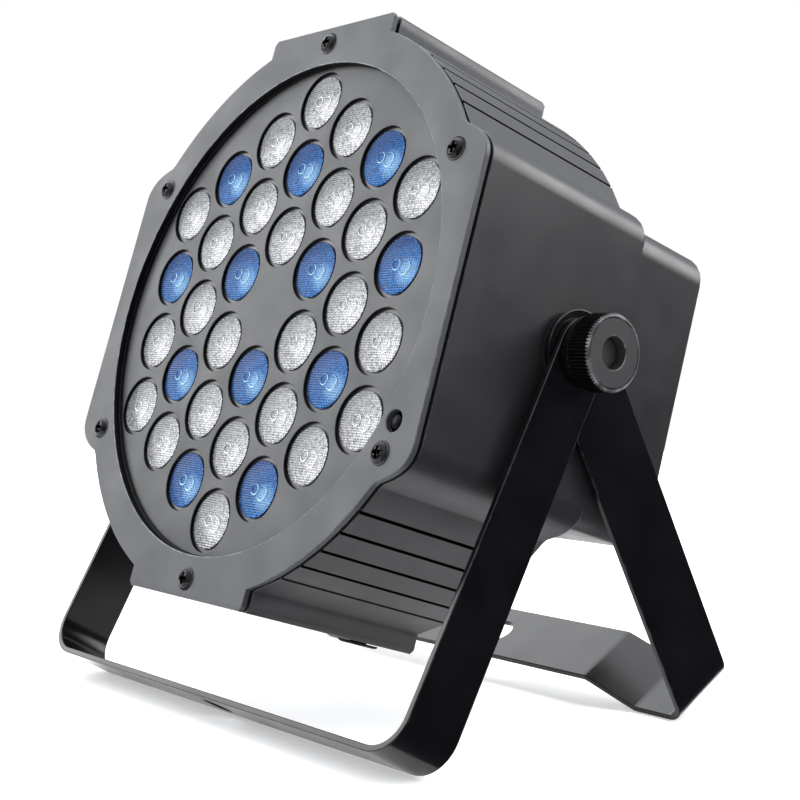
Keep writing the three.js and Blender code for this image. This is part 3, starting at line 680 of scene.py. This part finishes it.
def lens_mesh(build, cx, cz):
    """One lens: a dome of small pyramid facets with two moulded rings, and a cone back to its foot."""
    corners = {}
    painted_shade, painted_gleam = lens_layers(build)

    def corner(i, k):
        if (i, k) not in corners:
            x, z = i * FACET, k * FACET
            r = math.hypot(x, z)
            if r >= LENS_R:
                x, z = x * LENS_R / r, z * LENS_R / r
            corners[i, k] = build.verts.new((cx + x, LENS_RIM_Y - lens_height(x, z), cz + z))
        return corners[i, k]

    rim = {}
    for i in range(-LENS_CELLS - 1, LENS_CELLS + 1):
        for k in range(-LENS_CELLS - 1, LENS_CELLS + 1):
            places = ((i, k), (i + 1, k), (i + 1, k + 1), (i, k + 1))
            if min(math.hypot(a, b) for a, b in places) * FACET >= LENS_R:
                continue
            ring = [corner(*place) for place in places]
            middle = sum((vertex.co for vertex in ring), Vector()) / 4
            # Painted shade: facets darker towards the lens's upper left, lighter towards its lower right.
            painted_lit = 0.5 + 0.5 * (0.6 * (middle.x - cx) - 0.8 * (middle.z - cz)) / LENS_R
            # Painted highlight: facets round the highlight's centre carry a bright colour, fading out over its
            # radius.
            off = math.hypot(middle.x - cx - PAINTED_GLEAM_AT[0], middle.z - cz - PAINTED_GLEAM_AT[1])
            painted_glint = PAINTED_GLEAM * max(0.0, 1 - off / PAINTED_GLEAM_R)
            middle.y -= FACET_HEIGHT
            peak = build.verts.new(middle)
            for a in range(4):
                start, stop = ring[a], ring[(a + 1) % 4]
                facet = build.faces.new((start, stop, peak))
                facet[painted_shade], facet[painted_gleam] = painted_lit, painted_glint
                if (stop, start) in rim:
                    del rim[stop, start]
                else:
                    rim[start, stop] = True

    loop = dict(rim.keys())
    start = next(iter(loop))
    edge = [start]
    while loop[edge[-1]] is not start:
        edge.append(loop[edge[-1]])
    for r, y in LENS_CONE:
        ring = []
        for vertex in edge:
            x, z = vertex.co.x - cx, vertex.co.z - cz
            reach = math.hypot(x, z)
            ring.append(build.verts.new((cx + x * r / reach, y, cz + z * r / reach)))
        for a in range(len(ring)):
            b = (a + 1) % len(ring)
            build.faces.new((edge[a], ring[a], ring[b], edge[b]))
        edge = ring
    build.faces.new(edge)
    for x, z, r in LENS_MARKS:
        moulded_ring(build, cx + x, LENS_RIM_Y - lens_height(x, z) - 0.12, cz + z, r)


def moulded_ring(build, cx, y, cz, r, wire=0.17):
    """A small ring raised on a lens face."""
    painted_shade, painted_gleam = lens_layers(build)
    turns, sides = 28, 8
    rings = []
    for i in range(turns):
        ring = []
        for k in range(sides):
            reach, out = polar(wire, 360 * k / sides)
            x, z = polar(r + reach, 360 * i / turns)
            ring.append(build.verts.new((cx + x, y + out, cz + z)))
        rings.append(ring)
    for i in range(turns):
        near, far = rings[i], rings[(i + 1) % turns]
        x, z = polar(1, 360 * i / turns)
        for k in range(sides):
            m = (k + 1) % sides
            facet = build.faces.new((near[k], near[m], far[m], far[k]))
            # Painted highlight on the ring, strongest on its lower right; the ring is fully lit, with no
            # painted shade.
            facet[painted_shade], facet[painted_gleam] = 1.0, min(1.0, max(0.15, 0.5 + 0.5 * x - 0.6 * z))


def make_lenses():
    for name, wanted, slot, material in (("clear_lenses", False, "clear_lens", CLEAR),
                                         ("blue_lenses", True, "blue_lens", BLUE)):
        build = bmesh.new()
        for x, z, blue in lens_centres():
            if blue == wanted:
                lens_mesh(build, x, z)
        bmesh.ops.recalc_face_normals(build, faces=build.faces)
        placed(from_bmesh(name, build), slot, material, "lens_array", smooth=20)
    holes = [circle(CARRIER_HOLE_R, 32, x, z) for x, z, _ in lens_centres()]
    carrier = plate("lens_carrier", circle(CARRIER_R, 96), holes, *CARRIER_Y, 0.2)
    placed(carrier, "socket", SOCKET, "lens_array")


# ---- Screws ----

PAN_HEAD = ((3.85, 0), (3.9, 0.08), (3.4, 0.14), (3.3, 0.45), (2.95, 0.9), (2.3, 1.25), (1.2, 1.45), (0, 1.5))


def phillips_screw(name, node, out):
    """Pan-head screw along y with a tapered cross, its head towards out (-1 front, 1 back)."""
    low, high, x, z = local_span(node)
    tip, head_end = (high.y, low.y) if out < 0 else (low.y, high.y)
    seat = head_end - out * 1.9
    crown = seat + out * 1.5
    shank = [(0, tip), (1.0, tip), (1.4, tip + out * 0.6), (1.4, seat)]
    head = [(r, seat + out * rise) for r, rise in PAN_HEAD]
    body = lathe(name, shank + head, x, z, 40)
    deep = crown - out * 1.7
    front, back = sorted((deep, crown + out))
    cutters = []
    for wide, tall in ((2.3, 0.75), (0.75, 2.3)):
        cutter = box("cross", (x - wide, front, z - tall), (x + wide, back, z + tall))
        for vertex in cutter.data.vertices:
            if abs(vertex.co.y - deep) < 0.01:
                vertex.co.x = x + (vertex.co.x - x) * 0.7
                vertex.co.z = z + (vertex.co.z - z) * 0.7
        cutters.append(cutter)
    placed(cut(body, cutters), "screw", BLACK_STEEL, node)


def make_screws():
    for i in range(1, 7):
        phillips_screw(f"face_screw_{i}", f"bezel_screw_{i}", -1)
    for i in range(1, 5):
        phillips_screw(f"panel_screw_{i}", f"rear_screw_{i}", 1)


# ---- Housing ----

def make_housing():
    """The shell with its flat facets dissolved and its edges rounded."""
    shell = as_object("housing_shell", NODES["housing"].data.copy())
    shell.data.transform(HEAD.inverted())
    build = opened(shell)
    bmesh.ops.remove_doubles(build, verts=build.verts, dist=0.01)
    bmesh.ops.dissolve_limit(build, angle_limit=math.radians(1), verts=build.verts, edges=build.edges)
    weight = build.edges.layers.float.new("bevel_weight_edge")
    for vertex in build.verts:
        if vertex.co.y < HOUSING_LOW.y + 0.05:
            vertex.co.y += RIM_SETBACK
    for edge in build.edges:
        if len(edge.link_faces) != 2 or edge.calc_face_angle() < math.radians(32):
            continue
        ys = [vertex.co.y for vertex in edge.verts]
        radius = [max(abs(vertex.co.x) / SIDE_X, math.hypot(vertex.co.x, vertex.co.z) / ARC_R,
                      abs(vertex.co.z) / TAB_Z) for vertex in edge.verts]
        outside = min(radius) > 0.97
        at_drum_back = all(abs(y - DRUM_BACK_Y) < 0.05 for y in ys)
        at_either_end = ys[0] < HOUSING_LOW.y + 2 or ys[0] > DRUM_BACK_Y - 1
        if all(abs(y - HOUSING_HIGH.y) < 0.05 for y in ys):
            edge[weight] = 1.0
        elif at_drum_back and outside and edge.calc_length() > 1.4:
            edge[weight] = 0.45
        elif outside and abs(ys[0] - ys[1]) < 0.1 and at_either_end:
            edge[weight] = 0.25
    written_back(build, shell)
    shell.data.materials.clear()
    shell.data.materials.append(SHELL)
    shell.data.materials.append(SHELL)  # slot 1 only tells the bevelled faces apart
    shell = modified(shell, "BEVEL", width=1.0, segments=3, limit_method="WEIGHT", use_clamp_overlap=False,
                     material=1)
    mark_wear_and_sheen(shell, lambda face: face.material_index == 1)
    for face in shell.data.polygons:
        face.material_index = 0
    shell = placed(shell, "shell", SHELL, "housing")

    def in_groove(spot, normal):
        reach = math.hypot(spot.x, spot.z)
        on_arc = abs(spot.z) > CORNER_END[1] and abs(spot.x) > TAB_X
        return on_arc and ARC_R - 3 < reach < ARC_R - 0.3 and abs(normal.y) < 0.5

    # Near-black painted shade in the grooves on the arcs.
    repaint(shell, PAINTED_RECESS_SHADE, in_groove)


# ---- Brackets: flat blanks folded round their bends ----

CREASE = 1.6  # half the length over which a strap's shallow bends are eased


def fold_path(outer_x, arm, bend_r, rise=0.0, rise_x=(0, 0)):
    """Middle line of a strap from the right pivot to x = 0, as (x, z) points in fine steps."""
    mid = STRAP / 2
    floor = -arm + mid
    points = [(outer_x - mid, 0)]
    centre = (outer_x - bend_r, -arm + bend_r)
    reach = bend_r - mid
    points += [tuple(c + d for c, d in zip(centre, polar(reach, -90 * i / 10))) for i in range(11)]
    if rise:
        slope = math.atan2(rise, rise_x[1] - rise_x[0])
        shift = mid * math.tan(slope / 2)
        corners = ((rise_x[1] - shift, floor, False), (rise_x[0] - shift, floor + rise, True))
        for corner_x, corner_z, upper in corners:
            for i in range(-3, 4):
                t = i / 3 * CREASE
                on_slope = (t < 0) == upper
                dx, dz = (-t * math.cos(slope), t * math.sin(slope)) if on_slope else (-t, 0)
                ease = 0.18 * CREASE * (1 - (t / CREASE) ** 2) * math.tan(slope / 2)
                points.append((corner_x + dx, corner_z + dz + (-ease if upper else ease)))
    points.append((0, floor + rise))
    return points


CLAMP_HOLE_R = 5.6
STRAP_HOLE_R = STUD_R + 0.3


def make_bracket(name, node, place, bend_r, slot_spread, rise=0.0, rise_x=(0, 0)):
    """A strap cut flat with round ends and its holes, then folded along its path."""
    low, high = local_box(node, place)
    half_width = high.z
    half = fold_path(high.x, -low.z, bend_r, rise, rise_x)
    path = half + [(-x, z) for x, z in half[-2::-1]]
    lengths = [0.0]
    for here, there in zip(path, path[1:]):
        lengths.append(lengths[-1] + math.dist(here, there))
    total = lengths[-1]
    round_end = [polar(half_width, 90 + 180 * i / 24) for i in range(25)]
    outline = round_end + [(total - s, -v) for s, v in round_end]
    clamp = []
    for side, start in ((1, -90), (-1, 90)):
        for angle in range(start, start + 181, 10):
            x, v = polar(CLAMP_HOLE_R, angle)
            clamp.append((total / 2 + side * slot_spread + x, v))
    holes = [circle(STRAP_HOLE_R, 32), circle(STRAP_HOLE_R, 32, total), clamp]
    blank = plate(name, outline, holes, -STRAP / 2, STRAP / 2, 0.35)
    build = opened(blank)
    for s in lengths[1:-1]:
        bmesh.ops.bisect_plane(build, geom=[*build.verts, *build.edges, *build.faces],
                               plane_co=(s, 0, 0), plane_no=(1, 0, 0), dist=0.0001)
    for vertex in build.verts:
        s, depth, v = vertex.co
        k = 0
        while k < len(path) - 2 and s > lengths[k + 1] + 1e-4:
            k += 1
        (x0, z0), (x1, z1) = path[k], path[k + 1]
        span = lengths[k + 1] - lengths[k]
        t = (s - lengths[k]) / span
        direction = Vector((x1 - x0, 0, z1 - z0)) / span
        normal = Vector((-direction.z, 0, direction.x))
        near_next = k + 2 < len(path) and abs(s - lengths[k + 1]) < 1e-3
        near_last = k > 0 and abs(s - lengths[k]) < 1e-3
        stretch = 1.0
        if near_next or near_last:
            a, b = (path[k + 1], path[k + 2]) if near_next else (path[k - 1], path[k])
            other = Vector((b[0] - a[0], 0, b[1] - a[1])).normalized()
            across = Vector((-other.z, 0, other.x))
            both = (normal + across).normalized()
            stretch = 1 / max(0.3, both.dot(normal))
            normal = both
        vertex.co = Vector((x0, v, z0)) + direction * (t * span) - normal * (depth * stretch)
    bmesh.ops.recalc_face_normals(build, faces=build.faces)
    written_back(build, blank)
    placed(blank, "strap", STRAP_PAINT, node, body=node, place=place, smooth=38)


def make_brackets():
    make_bracket("front_strap", "front_bracket", FRONT, 13, 0)
    make_bracket("rear_strap", "rear_bracket", REAR, 6.5, 4, 9.4, (60, 79))


# ---- Pivot stack ----

KNURLS = 68
RECESS_R = 5.2
RECESS_DEPTH = 3.6
THREAD_PITCH = 1.25


def make_knobs():
    """Clamping knobs: a smooth collar, a knurled grip with a chamfered rim that carries a painted highlight,
    and a blind recess. Sides, face and recess get darker and lighter copies of one plastic, as painted shading.
    """
    low, high = local_box("knob_right")
    base, end = low.x, high.x
    outer = high.z
    collar_end = base + 2.3
    floor = end - RECESS_DEPTH

    def knurled(r, y, angle):
        if r < outer - 0.6 or y < collar_end or y > end - 0.2:
            return r
        phase = (angle * KNURLS / (2 * math.pi)) % 1
        return r - (0.65 if y < end - 0.5 else 0.4) * abs(2 * phase - 1) ** 1.3

    collar = [(4.3, base), (11.2, base), (11.5, base + 0.3), (11.5, collar_end - 0.3),
              (11.7, collar_end - 0.05), (outer, collar_end + 0.25)]
    rim = [(outer, end - 1.0), (outer, end - 0.8), (11.95, end - 0.35), (11.4, end - 0.05), (11.2, end),
           (11.0, end), (10.9, end - 0.3), (10.65, end - 0.3), (10.55, end)]
    recess = [(RECESS_R + 0.25, end), (RECESS_R, end - 0.25), (RECESS_R, floor - 0.4),
              (RECESS_R - 0.6, floor - 0.4), (RECESS_R - 0.6, floor), (0, floor), (0, floor - 0.6),
              (4.3, floor - 0.6)]
    knob = axle_lathe("grip_right", collar + rim + recess, KNURLS * 6, knurled)

    def on_face(spot, normal):
        out, reach = abs(spot.x), math.hypot(spot.y, spot.z)
        flat = abs(normal.x) > 0.99 and (out > end - 0.1 or abs(out - floor) < 0.1)
        return flat or (reach < RECESS_R + 0.1 and floor < out < end - 0.2)

    # Face and recess get the lighter copy, the sides keep the darker one: painted light and shade.
    for piece in placed_pair(knob, "grip", ("knob_right", "knob_left"), "knob", KNOB_SHADED, "knob", smooth=40):
        repaint(piece, KNOB_LIT_FACE, on_face)


def make_pivot_rings():
    rings = (("friction_pad", 4.6, "rubber", RUBBER, ("head", "head")),
             ("knob_washer", 4.4, "steel", STEEL, ("washer_right", "washer_left")))
    for node, inner, slot, material, bodies in rings:
        low, high = local_box(f"{node}_right")
        right = axle_lathe(f"{node}_ring_right", ring_profile(inner, high.z, low.x, high.x))
        placed_pair(right, f"{node}_ring", bodies, slot, material, node)


def make_studs():
    """Threaded studs that end inside the knobs, behind the floor of the recess."""
    low, high = local_box("knob_stud_right")
    tip = local_box("knob_right")[1].x - RECESS_DEPTH - 0.9
    profile = [(0, low.x), (3.2, low.x)]
    x = low.x + 0.8
    while x < high.x - 0.6:
        profile += [(STUD_R, x), (STUD_R, x + 0.15), (3.45, x + 0.6), (3.45, x + 0.75)]
        x += THREAD_PITCH
    profile = [(r, x) for r, x in profile if x <= tip] + [(3.4, tip), (0, tip)]
    right = axle_lathe("thread_right", profile, 32)
    placed_pair(right, "thread", ("knob_right", "knob_left"), "steel", STEEL, "knob_stud")


# ---- Rear ----

BUTTONS = ("menu", "down", "up", "enter")
INLET_DEPTH = 15.4
PIN_CIRCLE_R = 3.6


def make_rear_panel():
    low, high = local_box("rear_panel")
    holes = [circle(r, 40, *centre_xz(node)) for node, r in
             (("dmx_in_socket", 11.5), ("dmx_out_socket", 11.5), ("fuse_holder", 6.0))]
    holes.append(circle(26.9, 72, *centre_xz("fan_guard")))
    for name in BUTTONS:
        holes.append(circle(3.7, 28, *centre_xz(f"button_{name}")))
    for i in range(1, 5):
        holes.append(circle(1.8, 16, *centre_xz(f"rear_screw_{i}")))
    window_low, window_high = local_box("display_window")
    window = window_high - window_low
    holes.append(rounded_rectangle(window.x + 0.6, window.z + 0.6, 0.6, *centre_xz("display_window")))
    holes.append(rounded_rectangle(27.6, 19.6, 0.5, *centre_xz("power_inlet")))
    outline = rounded_rectangle(high.x - low.x, high.z - low.z, 8.5)
    panel = plate("rear_plate", outline, holes, low.y, high.y, 0.3)
    placed(panel, "rear_plate", REAR_PAINT, "rear_panel")


def seven_segments(x, z, height):
    """The bars of one figure eight, as (x, z, half width, half height)."""
    half = height / 2
    flat = [(x, z + level, height * 0.19, 0.35) for level in (-half, 0, half)]
    upright = [(x + side * half / 2, z + level, 0.35, half / 2 - 0.5)
               for side in (-1, 1) for level in (-half / 2, half / 2)]
    return flat + upright


def make_display():
    low, high, x, z = local_span("display_window")
    outline = rounded_rectangle(high.x - low.x, high.z - low.z, 0.8, x, z)
    window = plate("display_cover", outline, [], low.y, high.y, 0.25)
    placed(window, "window", WINDOW, "display_window")
    bars = []
    for i in range(4):
        for cx, cz, dx, dz in seven_segments(x + (1.5 - i) * 10, z, 10):
            bars.append(box("bar", (cx - dx, high.y - 0.06, cz - dz), (cx + dx, high.y + 0.04, cz + dz)))
    placed(joined("display_digits", bars), "window", DIGIT)


def make_buttons():
    for name in BUTTONS:
        low, high, x, z = local_span(f"button_{name}")
        top = high.y
        profile = [(0, low.y), (4.4, low.y), (4.4, low.y + 1), (3.4, low.y + 1), (3.4, top - 0.9),
                   (3.25, top - 0.45), (2.9, top - 0.15), (2.4, top), (1.9, top - 0.05), (1.2, top - 0.25),
                   (0, top - 0.3)]
        cap = lathe(f"button_cap_{name}", profile, x, z, 40)
        placed(cap, "rubber", RUBBER, f"button_{name}", body=f"button_{name}")


FAN_BLADES = 7
BLADE_ROOT_R = 11
BLADE_TIP_R = 26.2
BLADE_Y = 44.4
BLADE_STEPS = 8
HUB_PROFILE = ((0, 38.6), (10.5, 38.6), (12, 39.6), (12, 48.4), (11.2, 49.4), (10, 49.6), (3, 49.6),
               (2.5, 49.3), (0, 49.3))


def blade_point(turn, out, across):
    """A place on a twisted, curved blade: out runs 0 to 1 from root to tip, across runs -0.5 to 0.5."""
    r = BLADE_ROOT_R + (BLADE_TIP_R - BLADE_ROOT_R) * out
    pitch = math.radians(48 - 16 * out)
    chord = 12.5 + 3 * out
    angle = turn + across * chord * math.cos(pitch) / r + 0.12 * out
    y = BLADE_Y + across * chord * math.sin(pitch) * 0.8 - 1.2 * math.cos(across * math.pi)
    return Vector((r * math.cos(angle), y, r * math.sin(angle)))


def make_fan():
    x, z = centre_xz("fan_rotor")
    hub = Vector((x, 0, z))
    parts = [lathe("hub", HUB_PROFILE, x, z, 64)]
    for i in range(FAN_BLADES):
        build = bmesh.new()
        turn = 2 * math.pi * i / FAN_BLADES
        grid = [[build.verts.new(hub + blade_point(turn, a / BLADE_STEPS, b / BLADE_STEPS - 0.5))
                 for b in range(BLADE_STEPS + 1)] for a in range(BLADE_STEPS + 1)]
        for near, far in zip(grid, grid[1:]):
            for b in range(BLADE_STEPS):
                build.faces.new((near[b], far[b], far[b + 1], near[b + 1]))
        parts.append(modified(from_bmesh("blade", build), "SOLIDIFY", thickness=1.1, offset=0))
    placed(joined("fan_blades", parts), "fan", FAN, "fan_rotor", body="fan_rotor")


def make_fan_guard():
    """Round wire rings on two crossed pairs of spokes."""
    low, high, x, z = local_span("fan_guard")
    middle = (low.y + high.y) / 2
    wire = (high.y - low.y) / 2 - 0.05
    wires = []
    for r in (6, 12, 18, 24, 28 - wire):
        points = [(x + a, middle, z + b) for a, b in circle(r, 96)]
        wires.append(tube("wire", points, wire, closed=True))
    for i, reach in enumerate((27, 35, 27, 35)):
        a, b = polar(reach, 45 * i)
        wires.append(tube("wire", [(x - a, middle, z - b), (x + a, middle, z + b)], wire * 0.98))
    placed(joined("fan_grille", wires), "guard", GUARD, "fan_guard")


def make_dmx(node, female):
    """A round three-pin data socket in its rounded flange, with holes or with pins."""
    low, high, x, z = local_span(node)
    top = high.y
    seat = top - 2.5
    holes = [circle(9.6, 48, x, z), circle(1.5, 16, x + 9.6, z + 12.2), circle(1.5, 16, x - 9.6, z - 12.2)]
    flange = plate(f"{node}_flange", rounded_rectangle(high.x - low.x, high.z - low.z, 3.2, x, z), holes,
                   seat, top, 0.5, 3)
    profile = [(0, low.y), (10.8, low.y), (11, low.y + 0.3), (11, seat - 0.4), (9.5, seat - 0.4),
               (9.5, top - 0.2)]
    if female:
        profile += [(9.3, top - 0.5), (9.3, top - 4), (8.2, top - 4), (8.2, top - 0.9), (7.9, top - 0.6),
                    (0, top - 0.6)]
        pin = [(0, top - 9), (1.3, top - 9), (1.3, top + 2), (0, top + 2)]
        angles = (-150, -90, -30)
    else:
        profile += [(9.3, top), (8.3, top), (8.0, top - 0.3), (8.0, top - 12), (0, top - 12)]
        pin = [(0, top - 12.2), (1.1, top - 12.2), (1.1, top - 2.6), (0.8, top - 1.9), (0, top - 1.6)]
        angles = (30, 90, 150)
    core = lathe("core", profile, x, z, 64)
    pins = []
    for angle in angles:
        dx, dz = polar(PIN_CIRCLE_R, angle)
        pins.append(lathe("pin", pin, x + dx, z + dz, 24))
    if female:
        core = cut(core, pins)
    placed(joined(f"{node}_body", [flange, core]), "socket", SOCKET, node)
    if not female:
        placed(joined(f"{node}_pins", pins), "steel", PIN, node)


def make_inlet():
    low, high, x, z = local_span("power_inlet")
    top = high.y
    mouth = rounded_rectangle(22, 14, 2, x, z)
    flange = plate("flange", rounded_rectangle(high.x - low.x, high.z - low.z, 2.4, x, z), [mouth],
                   top - 2.5, top, 0.5, 3)
    sleeve = plate("sleeve", rounded_rectangle(26.6, 18.6, 1, x, z), [mouth], top - INLET_DEPTH, top - 2.4, 0.1)
    floor = box("floor", (x - 13.3, low.y, z - 9.3), (x + 13.3, top - INLET_DEPTH + 0.1, z + 9.3), 0.3)
    placed(joined("inlet_body", [flange, sleeve, floor]), "socket", SOCKET, "power_inlet")
    blades = []
    for cx, cz in ((x - 7, z - 1), (x, z + 2), (x + 7, z - 1)):
        blades.append(box("blade", (cx - 1, top - INLET_DEPTH, cz - 2), (cx + 1, top - 2.6, cz + 2), 0.35))
    placed(joined("inlet_pins", blades), "steel", PIN, "power_inlet")


def make_fuse():
    low, high, x, z = local_span("fuse_holder")
    cap = high.y - 5

    def fluted(r, y, angle):
        return r - (0.35 * (0.5 + 0.5 * math.cos(20 * angle)) if cap + 0.6 < y < high.y - 0.8 else 0)

    profile = [(0, low.y), (5.5, low.y), (5.5, cap), (7.2, cap), (7.5, cap + 0.3), (7.3, cap + 0.9),
               (7.0, high.y - 1.2), (6.6, high.y - 0.5), (6.0, high.y), (0, high.y)]
    body = lathe("fuse_cap", profile, x, z, 80, fluted)
    slot = box("slot", (x - 4.6, high.y - 1.2, z - 0.6), (x + 4.6, high.y + 1, z + 0.6))
    placed(cut(body, [slot]), "socket", SOCKET, "fuse_holder")


def make_eye():
    low, high, _, z = local_span("safety_eye")
    foot = box("foot", (low.x, low.y, low.z), (high.x, low.y + 2, high.z), 0.5, 3)
    start = low.y + 1
    wire = []
    for i in range(41):
        t = i / 40
        side = 9 * ((1 - t) ** 3 + 3 * t * (1 - t) ** 2 - 3 * t * t * (1 - t) - t ** 3)
        wire.append((side, start + 57 * t * (1 - t), z))
    loop = tube("loop", wire, 1.95, sides=12)
    placed(joined("eye_bolt", [foot, loop]), "steel", STEEL, "safety_eye")


def make_plug():
    """Push-in rubber plug under the shell, with a softly rounded head."""
    low, high = local_box("base_plug")
    middle = (low + high) / 2
    base = low.z
    profile = [(0, base), (5.6, base), (6.5, base + 0.2), (7, base + 0.6), (7, base + 0.95), (3, base + 0.95),
               (3, high.z - 0.5), (2.5, high.z), (0, high.z)]
    plug = lathe("push_plug", profile)
    upright = Matrix(((1, 0, 0, 0), (0, 0, 1, 0), (0, 1, 0, 0), (0, 0, 0, 1)))
    plug.data.transform(Matrix.Translation((middle.x, middle.y, 0)) @ upright)
    plug.data.flip_normals()
    placed(plug, "rubber", RUBBER, "base_plug")


def make_sensor():
    low, high, x, z = local_span("remote_sensor")
    profile = [(0, high.y), (3, high.y), (3, low.y + 2), (2.6, low.y + 1.9), (2.5, low.y + 1.0),
               (2.1, low.y + 0.45), (1.2, low.y + 0.1), (0, low.y)]
    placed(lathe("sensor_dome", profile, x, z, 40), "window", SENSOR_BLACK, "remote_sensor")


def finish_carried_nodes():
    """Inner pieces keep their CAD shape and get their finish here."""
    finishes = {"led_board": BOARD, "heat_sink": SINK, "control_board": CIRCUIT, "driver_board": CIRCUIT,
                "fan_frame": FAN, "pivot_nut_right": STEEL, "pivot_nut_left": STEEL}
    for node, material in finishes.items():
        for material_slot in NODES[node].material_slots:
            material_slot.material = material


# ---- Studio ----

def make_floor():
    """A round pale floor in two halves. The right half keeps out of the straps' reflections."""
    finish = Finish("floor_paint", (0.9, 0.9, 0.9), 0.6, specular=0.1)
    finish.glow((1, 1, 1), 0.4)
    finish.rough(0.55, 0.7, 3)
    for name, side in (("floor_left", 1), ("floor_right", -1)):
        build = bmesh.new()
        bmesh.ops.create_circle(build, cap_ends=True, segments=96, radius=FLOOR_R)
        everything = [*build.verts, *build.edges, *build.faces]
        bmesh.ops.bisect_plane(build, geom=everything, plane_co=(FLOOR_SPLIT, 0, 0), plane_no=(side, 0, 0),
                               clear_outer=True)
        floor = from_bmesh(name, build)
        floor.data.materials.append(finish.material)
        floor.visible_glossy = side > 0


def make_lights():
    """Soft boxes aimed at the lamp, as (name, place and size in metres, power in watts)."""
    centre = (CAD_BOX[0] + CAD_BOX[1]) / 2
    for name, place, size, power in (("top_softbox", (-0.3, 0.1, 1.5), (1.2, 1.2), 10),
                                     ("front_softbox", (-1.3, -0.95, 0.75), (1.0, 0.9), 12),
                                     ("rear_softbox", (0.8, 1.15, 0.8), (1.3, 0.75), 15.5),
                                     ("left_softbox", (-1.15, 0.45, 0.97), (0.8, 0.8), 4.2)):
        light = bpy.data.lights.new(name, "AREA")
        light.shape = "RECTANGLE"
        light.size, light.size_y = size
        light.energy = power
        lamp = as_object(name, light)
        lamp.location = place
        lamp.rotation_mode = "QUATERNION"
        lamp.rotation_quaternion = (centre - lamp.location).to_track_quat("-Z", "Y")


def make_sky():
    """Soft surround: bright overhead and to the left, dim round the back left, and white where it is seen."""
    world = bpy.data.worlds.new("studio")
    bpy.context.scene.world = world
    world.use_nodes = True
    tree = world.node_tree
    tree.nodes.clear()

    def node(kind, *sources, **values):
        return add_node(tree, kind, *sources, **values)

    def ramp(source, start, stop, low, high, **values):
        return node("ShaderNodeMapRange", source, From_Min=start, From_Max=stop, To_Min=low, To_Max=high,
                    **values).outputs[0]

    def combined(operation, first, second):
        return node("ShaderNodeMath", first, second, operation=operation).outputs[0]

    axes = node("ShaderNodeSeparateXYZ", node("ShaderNodeTexCoord").outputs["Generated"]).outputs
    height = ramp(axes["Z"], 0.02, 0.9, 0.02, 2.1, interpolation_type="SMOOTHSTEP")
    left = ramp(axes["X"], -0.9, 0.7, 0.3, 0.0)
    back_left = ramp(combined("SUBTRACT", axes["Y"], axes["X"]), 0.7, 1.3, 1.0, 0.3)
    fill = node("ShaderNodeBackground", Color=(0.93, 0.96, 1, 1))
    strength = combined("ADD", combined("MULTIPLY", height, back_left), left)
    tree.links.new(strength, fill.inputs["Strength"])
    seen = node("ShaderNodeBackground", Color=(1, 1, 1, 1), Strength=1.0)
    camera_ray = node("ShaderNodeLightPath").outputs["Is Camera Ray"]
    mix = node("ShaderNodeMixShader", camera_ray, fill.outputs[0], seen.outputs[0])
    node("ShaderNodeOutputWorld", mix.outputs[0])


def make_camera():
    """The photograph's viewpoint, solved on the lens centres."""
    camera = bpy.data.cameras.new("camera")
    camera.sensor_width = 36
    camera.lens = 68.5
    camera.clip_start = 0.01
    forward = Vector((-0.7666, 0.6412, -0.0368)).normalized()
    right = Vector((0.6414, 0.7673, 0.0036))
    right = (right - forward * right.dot(forward)).normalized()
    turn = Matrix((right, right.cross(forward), -forward)).transposed().to_4x4()
    holder = as_object("camera", camera)
    holder.matrix_world = Matrix.Translation((0.42658, -0.34197, 0.12661)) @ turn
    bpy.context.scene.camera = holder


bpy.context.scene.view_settings.view_transform = "Standard"
for make in (make_camera, make_bezel, make_inner_panel, make_lenses, make_screws, make_housing, make_brackets,
             make_knobs, make_pivot_rings, make_studs, make_rear_panel, make_display, make_buttons, make_fan,
             make_fan_guard):
    make()
make_dmx("dmx_in_socket", False)
make_dmx("dmx_out_socket", True)
for make in (make_inlet, make_fuse, make_eye, make_plug, make_sensor, finish_carried_nodes, make_floor,
             make_lights, make_sky):
    make()
